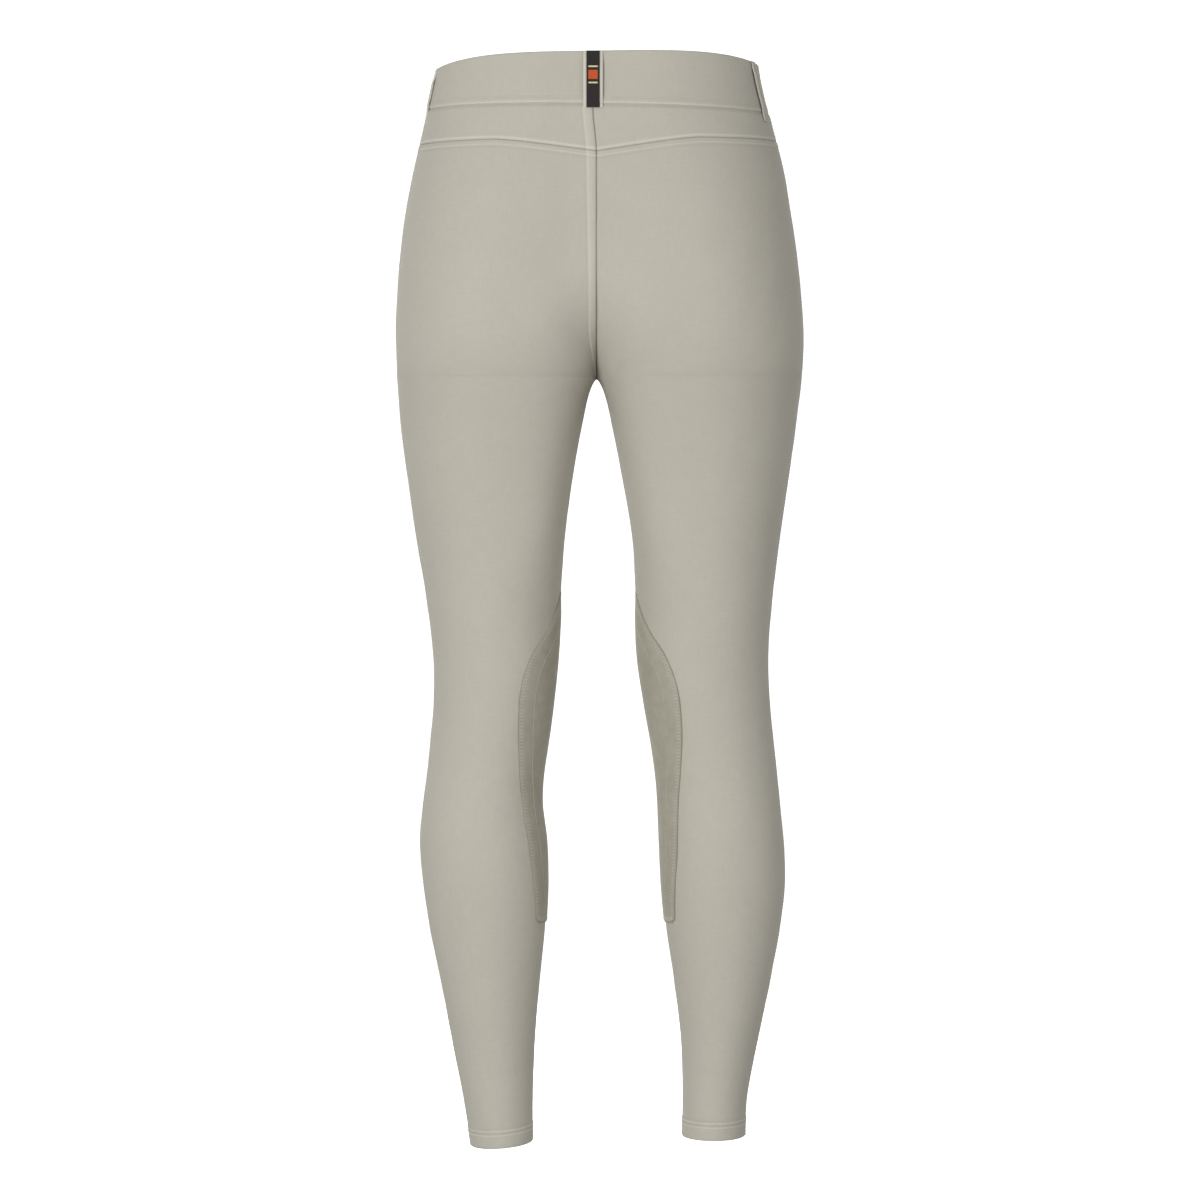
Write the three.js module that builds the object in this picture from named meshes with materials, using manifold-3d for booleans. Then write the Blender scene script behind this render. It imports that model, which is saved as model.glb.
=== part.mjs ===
// Riding breeches, filled out as when worn: a hollow shell of cut and sewn pieces.
// Millimetres. +Z is up, the front faces -Y and the left leg is at +X.
// The origin is the middle of the waistband's ring, halfway up the band.
import * as THREE from "three";
import { mergeVertices } from "three/addons/utils/BufferGeometryUtils.js";
import Module from "manifold-3d";

const wasm = await Module();
wasm.setup();

// Cloth walls and seams
const CLOTH = 1.2;
const BAND_CLOTH = 2.4;
const PATCH_CLOTH = 1.0;
const LOOP_CLOTH = 1.3;
const TAPE_CLOTH = 0.6;
const SEAM_GAP = 0.3;

// Crotch: the fork where the four leg seams meet, and the round top of the gap between the legs
const FORK_Z = -273;
const ARCH_RADIUS = 4;
const SEAT_RISE = 105;
const FRONT_RISE = 85;
const FORK_SLOPE = THREE.MathUtils.degToRad(76);

// Seam levels. side is the level at the sides, back and front what is added towards the middle,
// hug how close to the sides that fades, and lean how much the seam falls towards the left
const BAND_TOP = { z: 0, side: 12.5, back: 11.7, front: -9.5, hug: 6, lean: 0.018 };
const BAND_SEAM = { z: -25, side: -26.1, back: 2, front: -3, hug: 2, lean: -0.013 };
const YOKE = { z: -56, side: -55.5, dip: 12.3, reach: 95, bend: 1.25, lean: 0.01 };
const HEM_LEFT = { z: -979.4, tilt: -0.08, x: 87 };
const HEM_RIGHT = { z: -972.5, tilt: 0, x: 107 };

// The centre back seam drifts towards the left leg's side as it climbs from the yoke to the waistband
const DRIFT = { top: 3.1, topZ: -28, foot: 0, footZ: -70, reach: 40 };

// Outer form at each level: how far the cloth reaches to each side, to the back and to the front
const FORM = [
  { z: 34, outL: 144.8, outR: 147, back: 96, front: -92 },
  { z: 0, outL: 150.3, outR: 152.2, back: 99.5, front: -96 },
  { z: -41, outL: 159.4, outR: 162.4, back: 106, front: -101 },
  { z: -78, outL: 167.7, outR: 171.8, back: 115, front: -105 },
  { z: -115, outL: 175, outR: 178.2, back: 123.5, front: -107 },
  { z: -152, outL: 179.8, outR: 183.5, back: 129, front: -106 },
  { z: -189, outL: 183, outR: 187.6, back: 130, front: -103 },
  { z: -226, outL: 184.4, outR: 190.3, back: 125.5, front: -100 },
  { z: -273, outL: 183.3, outR: 188.8, back: 111, front: -96 },
  { z: -310, outL: 180.7, outR: 184.3, back: 97.5, front: -93 },
  { z: -364, outL: 174.2, outR: 177, back: 82, front: -88.5 },
  { z: -420, outL: 165.9, outR: 169, back: 70, front: -83 },
  { z: -476, outL: 156.8, outR: 162, back: 61.5, front: -76.5 },
  { z: -531, outL: 150.4, outR: 158.5, back: 58, front: -69.5 },
  { z: -568, outL: 150.1, outR: 159.7, back: 59, front: -65 },
  { z: -605, outL: 152.9, outR: 163, back: 63, front: -60 },
  { z: -642, outL: 156.8, outR: 166.7, back: 68.5, front: -55.5 },
  { z: -661, outL: 159.4, outR: 168.6, back: 71.5, front: -53 },
  { z: -698, outL: 162.2, outR: 172.2, back: 75, front: -49 },
  { z: -735, outL: 159.6, outR: 173.2, back: 74, front: -45 },
  { z: -772, outL: 154.3, outR: 169.5, back: 70, front: -41 },
  { z: -827, outL: 143.2, outR: 159.7, back: 62, front: -36 },
  { z: -883, outL: 132.6, outR: 148.2, back: 54, front: -32 },
  { z: -938, outL: 121.9, outR: 138.2, back: 49, front: -30 },
  { z: -985, outL: 114.6, outR: 136.4, back: 47, front: -29 },
];

// Above the fork: how far out the fullest part of each half lies, as a share of the half's width,
// and how deep the cloth dips at the centre back and centre front
const TORSO = [
  { z: 34, lobe: 0.22, dipBack: 0, dipFront: 0 },
  { z: 0, lobe: 0.24, dipBack: 0, dipFront: 0 },
  { z: -41, lobe: 0.3, dipBack: 0.4, dipFront: 0 },
  { z: -78, lobe: 0.38, dipBack: 2, dipFront: 0 },
  { z: -115, lobe: 0.43, dipBack: 4.5, dipFront: 0.5 },
  { z: -152, lobe: 0.46, dipBack: 7, dipFront: 1.5 },
  { z: -189, lobe: 0.48, dipBack: 9, dipFront: 3 },
  { z: -226, lobe: 0.49, dipBack: 11, dipFront: 4.5 },
  { z: -273, lobe: 0.511, dipBack: 13, dipFront: 6 },
];

// Below the fork: how far each leg's inner line lies from the middle plane
const LEGS = [
  { z: -273, inL: 4, inR: 4.4 },
  { z: -310, inL: 12.3, inR: 13.2 },
  { z: -364, inL: 22, inR: 23.8 },
  { z: -420, inL: 29.4, inR: 33 },
  { z: -476, inL: 33.1, inR: 36.3 },
  { z: -531, inL: 36.2, inR: 38.6 },
  { z: -568, inL: 40, inR: 44.1 },
  { z: -605, inL: 44.8, inR: 50.6 },
  { z: -642, inL: 50, inR: 55.7 },
  { z: -661, inL: 50.8, inR: 57.1 },
  { z: -698, inL: 46.6, inR: 58.6 },
  { z: -735, inL: 45.5, inR: 60.3 },
  { z: -772, inL: 47, inR: 63.5 },
  { z: -827, inL: 52.1, inR: 71.4 },
  { z: -883, inL: 56.7, inR: 77.9 },
  { z: -938, inL: 58.6, inR: 79.3 },
  { z: -985, inL: 58.6, inR: 78.4 },
];

// Knee patch: at each level, its reach either way from the inner line as a share of a quarter ring
const PATCH = [
  { z: -468, reach: 0.03 },
  { z: -470, reach: 0.08 },
  { z: -474, reach: 0.13 },
  { z: -481, reach: 0.2 },
  { z: -490, reach: 0.275 },
  { z: -504, reach: 0.4 },
  { z: -523, reach: 0.58 },
  { z: -540, reach: 0.67 },
  { z: -559, reach: 0.71 },
  { z: -582, reach: 0.705 },
  { z: -605, reach: 0.67 },
  { z: -633, reach: 0.6 },
  { z: -661, reach: 0.53 },
  { z: -687, reach: 0.5 },
  { z: -715, reach: 0.467 },
  { z: -738, reach: 0.42 },
  { z: -757, reach: 0.39 },
  { z: -766, reach: 0.38 },
  { z: -770, reach: 0.36 },
  { z: -772.5, reach: 0.31 },
];

// Belt loops: which half each is sewn to, where its middle lies round that half, its width,
// how far its foot reaches below the waistband's seam, and how much it sinks onto the flat facets
const LOOPS = [
  { name: "belt_loop_back", side: "L", share: 0, width: 18, below: 4.5, sink: 0 },
  { name: "belt_loop_side_left", side: "L", share: 0.482, width: 10, below: 10, sink: 0.8 },
  { name: "belt_loop_side_right", side: "R", share: 0.45, width: 10, below: 9, sink: 0 },
  { name: "belt_loop_front_left", side: "L", share: 0.7, width: 10, below: 9, sink: 0 },
  { name: "belt_loop_front_right", side: "R", share: 0.7, width: 10, below: 9, sink: 0 },
];
const LOOP_DROP = 0.5;
const LOOP_END = 5;
const LOOP_BOW = 2;
const LOOP_STEPS = 12;
const TAPE_WIDTH = 12;

// Waistband's lap at the front, and its button
const LAP_PAST_CENTRE = 30;
const LAP_BLEND = 14;
const BUTTON = { radius: 8.5, height: 3, rim: 1.6, dish: 0.9, x: 15, sides: 28 };

// Facets: steps across a quarter of a half's ring
const QUARTER_STEPS = 6;

const CURVE = 0.5523;
const lerp = THREE.MathUtils.lerp;
const smooth = (share) => THREE.MathUtils.smoothstep(share, 0, 1);

// A smooth curve through one column of a table whose levels run downwards
function column(table, name, z) {
  const level = THREE.MathUtils.clamp(z, table[table.length - 1].z, table[0].z);
  let i = 0;
  while (i < table.length - 2 && level < table[i + 1].z) i++;
  const slope = (k) => (table[k + 1][name] - table[k][name]) / (table[k + 1].z - table[k].z);
  const tangent = (k) => {
    if (k === 0) return slope(0);
    if (k === table.length - 1) return slope(k - 1);
    const before = table[k - 1].z - table[k].z;
    const after = table[k].z - table[k + 1].z;
    return (slope(k - 1) * after + slope(k) * before) / (before + after);
  };
  const span = table[i + 1].z - table[i].z;
  const t = (level - table[i].z) / span;
  const rise = (1 + 2 * t) * (1 - t) ** 2 * table[i][name] + t * t * (3 - 2 * t) * table[i + 1][name];
  return rise + span * (t * (1 - t) ** 2 * tangent(i) - t * t * (1 - t) * tangent(i + 1));
}

// The crotch seam's hook: how far along its way out to the centre line it has come, and how it leans
function hook(rise, height) {
  const turn = Math.acos(1 - Math.min(1, rise / height));
  const crease = FORK_SLOPE * (1 - turn / (Math.PI / 2));
  return { reach: Math.sin(turn), lean: Math.atan2(Math.tan(crease), Math.sin(turn)) };
}

// The key sizes of one half's ring at a level
function ring(side, z) {
  const out = column(FORM, "out" + side, z);
  const back = column(FORM, "back", z);
  const front = column(FORM, "front", z);
  const middle = (back + front) / 2;
  if (z <= FORK_Z) {
    const depth = FORK_Z - z;
    const arch = depth < ARCH_RADIUS ? Math.sqrt(1 - (1 - depth / ARCH_RADIUS) ** 2) : 1;
    const gap = column(LEGS, "in" + side, z);
    const upright = { y: middle, lean: Math.PI / 2 };
    return { inner: gap * arch, out, back, front, middle, full: (gap + out) / 2, toBack: upright, toFront: upright };
  }
  const rise = z - FORK_Z;
  const behind = hook(rise, SEAT_RISE);
  const before = hook(rise, FRONT_RISE);
  const backY = back - column(TORSO, "dipBack", z);
  const frontY = front + column(TORSO, "dipFront", z);
  return {
    inner: 0,
    out,
    back,
    front,
    middle,
    full: out * column(TORSO, "lobe", z),
    toBack: { y: lerp(middle, backY, behind.reach), lean: behind.lean },
    toFront: { y: lerp(middle, frontY, before.reach), lean: before.lean },
  };
}

// A point of the outer surface. share runs round one half: 0 at the centre back or inseam,
// 0.25 at the back, 0.5 at the side seam, 0.75 at the front, 1 at the centre front or inseam
function surface(side, share, z) {
  const r = ring(side, z);
  const front = share > 0.5;
  const half = front ? 1 - share : share;
  const far = front ? r.front : r.back;
  const start = front ? r.toFront : r.toBack;
  const way = Math.sign(far - r.middle);
  let points;
  if (half <= 0.25) {
    const grip = CURVE * (Math.abs(far - start.y) * Math.sin(start.lean) + (r.full - r.inner) * Math.cos(start.lean));
    points = [
      [r.inner, start.y],
      [r.inner + grip * Math.cos(start.lean), start.y + way * grip * Math.sin(start.lean)],
      [r.full - CURVE * (r.full - r.inner), far],
      [r.full, far],
    ];
  } else {
    points = [
      [r.full, far],
      [r.full + CURVE * (r.out - r.full), far],
      [r.out, r.middle + CURVE * (far - r.middle)],
      [r.out, r.middle],
    ];
  }
  const t = half <= 0.25 ? half * 4 : half * 4 - 1;
  const weights = [(1 - t) ** 3, 3 * t * (1 - t) ** 2, 3 * t * t * (1 - t), t ** 3];
  const at = (axis) => points.reduce((sum, p, i) => sum + p[axis] * weights[i], 0);
  return new THREE.Vector3(at(0), at(1), z);
}

// One half's share, kept on the ring: a leg's ring closes on itself, a torso's half stops at the centre
const onRing = (share, z) => (z <= FORK_Z ? share - Math.floor(share) : THREE.MathUtils.clamp(share, 0, 1));

// The outward normal a little above or below a level, never measured across the fork
function normalBeside(side, share, z) {
  const STEP = 0.4;
  const ALONG = 0.004;
  const above = z > FORK_Z ? z + STEP : Math.min(z + STEP, FORK_Z);
  const below = z > FORK_Z ? Math.max(z - STEP, FORK_Z + 0.01) : z - STEP;
  const up = surface(side, share, above).sub(surface(side, share, below));
  const round = surface(side, onRing(share + ALONG, z), z).sub(surface(side, onRing(share - ALONG, z), z));
  return up.cross(round).normalize();
}

function normal(side, share, z) {
  const BESIDE = 1;
  const at = onRing(share, z);
  const above = normalBeside(side, onRing(at, z + BESIDE), z + BESIDE);
  return above.add(normalBeside(side, at, z - BESIDE)).normalize();
}

// A point in the part's frame: the outer surface moved out by a height, kept off the middle plane,
// and put on the left or right half. edge moves it along the ring, away from a seam
function place(side, share, z, height, edge = 0) {
  const at = onRing(share, z);
  const p = surface(side, at, z);
  if (edge) {
    const ahead = surface(side, onRing(at + 0.01 * Math.sign(edge), z), z);
    p.addScaledVector(ahead.sub(p).normalize(), Math.abs(edge));
  }
  p.addScaledVector(normal(side, at, z), height);
  p.x = Math.max(p.x, SEAM_GAP / 2) * (side === "L" ? 1 : -1);
  const climb = smooth((p.z - DRIFT.footZ) / (DRIFT.topZ - DRIFT.footZ));
  p.x += lerp(DRIFT.foot, DRIFT.top, climb) * Math.exp(-((p.x / DRIFT.reach) ** 2));
  return p;
}

// The outward direction in the part's frame
function outward(side, share, z) {
  const out = normal(side, onRing(share, z), z);
  return side === "L" ? out : out.setX(-out.x);
}

// Shares in the order in which they lie from left to right, seen from outside
const leftToRight = (side, shares) => (side === "L" ? [...shares].reverse() : shares);

// A closed wall between an outer and an inner grid of points, given as rows from the top down
// whose points run from left to right, seen from outside
function wall(name, colour, roughness, outer, inner) {
  const rows = outer.length;
  const cols = outer[0].length;
  const positions = [...outer.flat(), ...inner.flat()].flatMap((p) => p.toArray());
  const index = [];
  const out = (i, j) => i * cols + j;
  const inn = (i, j) => rows * cols + i * cols + j;
  const quad = (a, b, c, d) => index.push(a, b, c, a, c, d);
  for (let i = 0; i < rows - 1; i++) {
    for (let j = 0; j < cols - 1; j++) {
      quad(out(i, j), out(i + 1, j), out(i + 1, j + 1), out(i, j + 1));
      quad(inn(i, j), inn(i, j + 1), inn(i + 1, j + 1), inn(i + 1, j));
    }
    quad(out(i, 0), inn(i, 0), inn(i + 1, 0), out(i + 1, 0));
    quad(out(i, cols - 1), out(i + 1, cols - 1), inn(i + 1, cols - 1), inn(i, cols - 1));
  }
  for (let j = 0; j < cols - 1; j++) {
    quad(out(0, j), out(0, j + 1), inn(0, j + 1), inn(0, j));
    quad(out(rows - 1, j), inn(rows - 1, j), inn(rows - 1, j + 1), out(rows - 1, j + 1));
  }
  const geometry = new THREE.BufferGeometry();
  geometry.setAttribute("position", new THREE.Float32BufferAttribute(positions, 3));
  geometry.setIndex(index);
  geometry.computeVertexNormals();
  const mesh = new THREE.Mesh(geometry, new THREE.MeshStandardMaterial({ color: colour, roughness, metalness: 0 }));
  mesh.name = name;
  return mesh;
}

const CLOTH_COLOUR = 0xb9b5a7;
const PATCH_COLOUR = 0x96927f;
const TAPE_COLOUR = 0x2b2826;
const BUTTON_COLOUR = 0xa39f90;

// Seam curves round one half
function bandEdge(seam, side, share) {
  const { x } = surface(side, share, seam.z);
  const inward = 1 - (x / ring(side, seam.z).out) ** seam.hug;
  return seam.side + (share <= 0.5 ? seam.back : seam.front) * inward - seam.lean * x * (side === "L" ? 1 : -1);
}
const bandTop = (side, share) => bandEdge(BAND_TOP, side, share);
const bandSeam = (side, share) => bandEdge(BAND_SEAM, side, share);
function yokeSeam(side, share) {
  const { x } = surface(side, share, YOKE.z);
  const dip = YOKE.dip * Math.max(0, 1 - x / YOKE.reach) ** YOKE.bend;
  return YOKE.side - dip - YOKE.lean * x * (side === "L" ? 1 : -1);
}
const hem = (side, share) => {
  const level = side === "L" ? HEM_LEFT : HEM_RIGHT;
  return level.z + level.tilt * (surface(side, share, level.z).x - level.x);
};

const range = (from, to, steps) => Array.from({ length: steps + 1 }, (_, i) => lerp(from, to, i / steps));

// Levels that all rows below the yoke share: even down to the fork, close together round it, even again
const HIP_Z = -108;
const HOOK_LEVELS = [76, 56, 39, 25, 14, 6.5, 2, 0].map((rise) => FORK_Z + rise);
const ARCH_LEVELS = [0.6, 2, 4.5, 10, 20, 37].map((drop) => FORK_Z - drop);
const KNEE_Z = -625;
const SHIN_Z = -950;
const LEVELS = [
  ...range(HIP_Z, HOOK_LEVELS[0], 3).slice(0, -1),
  ...HOOK_LEVELS,
  ...ARCH_LEVELS,
  ...range(ARCH_LEVELS.at(-1), KNEE_Z, 8).slice(1),
  ...range(KNEE_Z, SHIN_Z, 9).slice(1),
];

// The row curves of a leg panel, from the seam at its top to the hem, as functions of the share
function panelRows(top) {
  const TOP_ROWS = 3;
  const upper = range(0, 1, TOP_ROWS)
    .slice(0, -1)
    .map((t) => (side, share) => lerp(top(side, share) - SEAM_GAP / 2, HIP_Z, t));
  const levels = LEVELS.map((z) => () => z);
  return [...upper, ...levels, hem];
}

// A panel of cloth between two shares of one half's ring, with a seam gap at both its edges
function panel(name, side, shares, rows, thick, colour = CLOTH_COLOUR) {
  const edgeOf = new Map([[shares[0], SEAM_GAP / 2], [shares.at(-1), -SEAM_GAP / 2]]);
  const across = leftToRight(side, shares);
  const grid = (height) =>
    rows.map((row) => across.map((share) => place(side, share, row(side, share), height, edgeOf.get(share))));
  return wall(name, colour, 0.9, grid(0), grid(-thick));
}

const BACK_SHARES = range(0, 0.5, 2 * QUARTER_STEPS);
const FRONT_SHARES = range(0.5, 1, 2 * QUARTER_STEPS);

const breeches = new THREE.Group();
for (const [side, word] of [["L", "left"], ["R", "right"]]) {
  const yokeRows = range(0, 1, 2).map(
    (t) => (s, share) => lerp(bandSeam(s, share) - SEAM_GAP / 2, yokeSeam(s, share) + SEAM_GAP / 2, t),
  );
  breeches.add(
    panel("yoke_" + word, side, BACK_SHARES, yokeRows, CLOTH),
    panel("back_" + word, side, BACK_SHARES, panelRows(yokeSeam), CLOTH),
    panel("front_" + word, side, FRONT_SHARES, panelRows(bandSeam), CLOTH),
  );
}

// The waistband: rows between its top edge and its seam
const BAND_ROWS = range(0, 1, 3).map(
  (t) => (side, share) => lerp(bandTop(side, share), bandSeam(side, share) + SEAM_GAP / 2, t),
);

// The back piece runs from one side seam to the other, across the centre back
function waistbandBack() {
  const grid = (height) =>
    BAND_ROWS.map((row) => {
      const half = (side, shares) =>
        shares.map((share) => {
          const edge = share === 0.5 ? -SEAM_GAP / 2 : 0;
          const p = place(side, share, row(side, share), height, edge);
          return share === 0 ? p.setX(p.x - (side === "L" ? 1 : -1) * (SEAM_GAP / 2)) : p;
        });
      return [...half("L", [...BACK_SHARES].reverse()), ...half("R", BACK_SHARES.slice(1))];
    });
  return wall("waistband_back", CLOTH_COLOUR, 0.9, grid(0), grid(-BAND_CLOTH));
}

// The share of one half's front at which the surface is a given distance from the middle plane
function shareAtFront(side, x, z) {
  let [near, far] = [1, 0.75];
  for (let i = 0; i < 40; i++) {
    const share = (near + far) / 2;
    if (surface(side, share, z).x < x) near = share;
    else far = share;
  }
  return (near + far) / 2;
}

// The left front piece laps over the right one. past counts on from the centre front to the right
function waistbandFrontLeft() {
  const lapShare = 1 - shareAtFront("R", LAP_PAST_CENTRE, 0);
  const shares = [...FRONT_SHARES.slice(0, -1), ...range(1, 1 + lapShare, 4)].reverse();
  const grid = (height) =>
    BAND_ROWS.map((row) =>
      shares.map((share) => {
        const [side, at] = share <= 1 ? ["L", share] : ["R", 2 - share];
        const away = surface(side, at, 0).x * (share <= 1 ? 1 : -1);
        const lift = (BAND_CLOTH + SEAM_GAP) * smooth((LAP_BLEND - away) / LAP_BLEND);
        const z = row(side, at);
        const p = place(side, at, z, height + lift, share === 0.5 ? SEAM_GAP / 2 : 0);
        return at === 1 ? p.setX(p.x - SEAM_GAP / 2) : p;
      }),
    );
  return wall("waistband_front_left", CLOTH_COLOUR, 0.9, grid(0), grid(-BAND_CLOTH));
}

breeches.add(
  waistbandBack(),
  waistbandFrontLeft(),
  panel("waistband_front_right", "R", FRONT_SHARES, BAND_ROWS, BAND_CLOTH),
);

// What two closed meshes have in common, as a mesh with the first one's name and material
function common(mesh, cutter) {
  const [a, b] = [mesh, cutter].map(({ geometry }) => {
    const bare = geometry.clone().deleteAttribute("normal");
    const merged = mergeVertices(bare, 1e-4);
    const vertProperties = merged.attributes.position.array;
    const triVerts = new Uint32Array(merged.index.array);
    return new wasm.Manifold(new wasm.Mesh({ numProp: 3, vertProperties, triVerts }));
  });
  const cut = a.intersect(b).getMesh();
  const geometry = new THREE.BufferGeometry();
  geometry.setAttribute("position", new THREE.BufferAttribute(cut.vertProperties, 3));
  geometry.setIndex(new THREE.BufferAttribute(cut.triVerts, 1));
  geometry.computeVertexNormals();
  const made = new THREE.Mesh(geometry, mesh.material);
  made.name = mesh.name;
  return made;
}

// A knee patch lies on the inner leg, across the inseam. Its wall is the panels' own points moved
// out, and a thicker wall with the patch's outline cuts it to shape
function kneePatch(name, side) {
  const CUT_DEPTH = 6;
  const CUT_STEPS = 10;
  const top = LEVELS.findLastIndex((z) => z > PATCH[0].z);
  const foot = LEVELS.findIndex((z) => z < PATCH.at(-1).z);
  const levels = LEVELS.slice(top, foot + 1);
  const shares = range(-0.25, 0.25, 2 * QUARTER_STEPS);
  const sheet = (height) =>
    levels.map((z) => leftToRight(side, shares).map((share) => place(side, share, z, height)));
  const outline = (height) =>
    PATCH.map(({ z, reach }) => {
      const across = range(-reach / 4, reach / 4, CUT_STEPS);
      return leftToRight(side, across).map((share) => place(side, share, z, height));
    });
  const whole = wall(name, PATCH_COLOUR, 0.95, sheet(SEAM_GAP + PATCH_CLOTH), sheet(SEAM_GAP));
  return common(whole, wall("cutter", PATCH_COLOUR, 0.95, outline(CUT_DEPTH), outline(-CUT_DEPTH)));
}
breeches.add(kneePatch("knee_patch_left", "L"), kneePatch("knee_patch_right", "R"));

// A strap on the waistband: points down its length, bowed out between its sewn ends
function strap(name, side, share, width, rows, low, thick, colour) {
  const ACROSS = 2;
  const centre = (z) => place(side, share, z, 0);
  const grid = (height) =>
    rows.map(({ z, bow }) => {
      const base = centre(z);
      const out = outward(side, share, z);
      const along = new THREE.Vector3(0, 0, 1).cross(out).normalize();
      return range(-width / 2, width / 2, ACROSS).map((x) =>
        base.clone().addScaledVector(along, x).addScaledVector(out, low + bow + height),
      );
    });
  return wall(name, colour, 0.9, grid(thick), grid(0));
}

// A strap's ends are flat for a sewn length, with an even bow between them
function strapRows(top, foot, steps) {
  return range(0, 1, steps).map((t) => {
    const z = lerp(top, foot, t);
    const free = Math.min(top - z, z - foot) - LOOP_END;
    return { z, bow: LOOP_BOW * smooth(free / (2 * LOOP_END)) };
  });
}

for (const { name, side, share, width, below, sink } of LOOPS) {
  const top = bandTop(side, share) - LOOP_DROP;
  const rows = strapRows(top, bandSeam(side, share) - below, LOOP_STEPS);
  breeches.add(strap(name, side, share, width, rows, SEAM_GAP - sink, LOOP_CLOTH, CLOTH_COLOUR));
  if (name === "belt_loop_back") {
    const low = SEAM_GAP * 2 + LOOP_CLOTH;
    breeches.add(strap("loop_tape", side, share, TAPE_WIDTH, rows, low, TAPE_CLOTH, TAPE_COLOUR));
  }
}

// The button stands on the waistband's lap, halfway up it
function button() {
  const { radius, height, rim, dish, x, sides } = BUTTON;
  const profile = [
    [0, 0],
    [radius - 0.6, 0],
    [radius, 0.8],
    [radius, height - 0.9],
    [radius - 0.5, height - 0.2],
    [radius - rim, height],
    [radius - 2 * rim, height - dish],
    [0, height - dish],
  ].map(([r, y]) => new THREE.Vector2(r, y));
  const share = shareAtFront("R", x, 0);
  const z = (bandTop("R", share) + bandSeam("R", share)) / 2;
  const mesh = new THREE.Mesh(
    new THREE.LatheGeometry(profile, sides),
    new THREE.MeshStandardMaterial({ color: BUTTON_COLOUR, roughness: 0.45, metalness: 0 }),
  );
  mesh.name = "waist_button";
  mesh.quaternion.setFromUnitVectors(new THREE.Vector3(0, 1, 0), outward("R", share, z));
  mesh.position.copy(place("R", share, z, BAND_CLOTH + 2 * SEAM_GAP));
  return mesh;
}
breeches.add(button());

export default breeches;
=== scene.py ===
import math

import bpy
import numpy as np
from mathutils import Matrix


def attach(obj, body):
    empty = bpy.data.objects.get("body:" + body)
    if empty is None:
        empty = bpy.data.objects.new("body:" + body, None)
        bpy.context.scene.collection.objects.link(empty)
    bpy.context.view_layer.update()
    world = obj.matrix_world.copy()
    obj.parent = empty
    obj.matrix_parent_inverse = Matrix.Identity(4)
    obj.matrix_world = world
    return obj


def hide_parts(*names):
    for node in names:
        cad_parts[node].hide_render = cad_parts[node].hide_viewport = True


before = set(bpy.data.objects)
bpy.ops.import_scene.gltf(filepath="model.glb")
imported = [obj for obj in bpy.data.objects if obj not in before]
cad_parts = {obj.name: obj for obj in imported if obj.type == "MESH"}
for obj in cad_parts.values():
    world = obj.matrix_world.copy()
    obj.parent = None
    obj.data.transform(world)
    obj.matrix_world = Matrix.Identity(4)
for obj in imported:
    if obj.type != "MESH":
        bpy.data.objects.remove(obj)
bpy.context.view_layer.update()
MM = 0.001

# Camera: straight on to the back, at the photograph's scale
PHOTO_PIXELS = 1200
PIXEL_MM = 0.923
PHOTO_MIDDLE_X = 596.5
PHOTO_ORIGIN_Y = 84.0
CAMERA_AWAY = 7.0
SENSOR_MM = 36.0


def make_camera():
    data = bpy.data.cameras.new("camera")
    camera = bpy.data.objects.new("camera", data)
    bpy.context.scene.collection.objects.link(camera)
    half = PHOTO_PIXELS / 2
    across = (PHOTO_MIDDLE_X - half) * PIXEL_MM * MM
    up = (PHOTO_ORIGIN_Y - half) * PIXEL_MM * MM
    camera.location = (across, CAMERA_AWAY, up)
    camera.rotation_euler = (math.pi / 2, 0, math.pi)
    data.sensor_width = SENSOR_MM
    data.lens = SENSOR_MM * CAMERA_AWAY / (PHOTO_PIXELS * PIXEL_MM * MM)
    data.clip_end = 100
    bpy.context.scene.camera = camera


make_camera()


# Form: half-rings at levels down the body. A share runs round a half from the centre back, 0, past
# the side seam, 0.5, to the centre front, 1, and on each leg from the inseam round to the inseam
def table(names, *rows):
    return dict(zip(names.split(), np.array(rows, dtype=float).T))


FORK_Z = -273.0
QUARTER = 0.25
# The gap between the legs opens from nothing at the fork, with a small round top at the inseam
ARCH_DROP, ARCH_TURN, ARCH_REACH = 8.0, 0.5, 0.016
SADDLE, CUT_STEPS = 75.0, 8
FULLER = 0.3
FULLER_LEVELS = (-198.0, -263.0, -410.0, -500.0)
SEAT_RISE = 105.0
FRONT_RISE = 85.0
FORK_SLOPE = math.radians(76)
CLOTH = 1.2
BAND_CLOTH = 2.4
PATCH_CLOTH = 1.0
SEAM_GAP = 0.3
CURVE = 0.5523

BAND_TOP = {"z": 0, "side": 15.3, "back": 8.8, "front": -12.3, "hug": 4.7, "lean": 0.0136}
BAND_SEAM = {"z": -25, "side": -26.1, "back": 2, "front": -3, "hug": 2, "lean": -0.013}
YOKE = {"z": -56, "side": -55.5, "dip": 12.3, "reach": 95, "bend": 1.25, "lean": 0.01}
HEM = {"L": {"z": -979.4, "tilt": -0.08, "x": 87}, "R": {"z": -972.5, "tilt": 0, "x": 107}}
HEM_RISE = 3.6
DRIFT = {"top": 3.1, "topZ": -28, "footZ": -70, "reach": 40}

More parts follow.
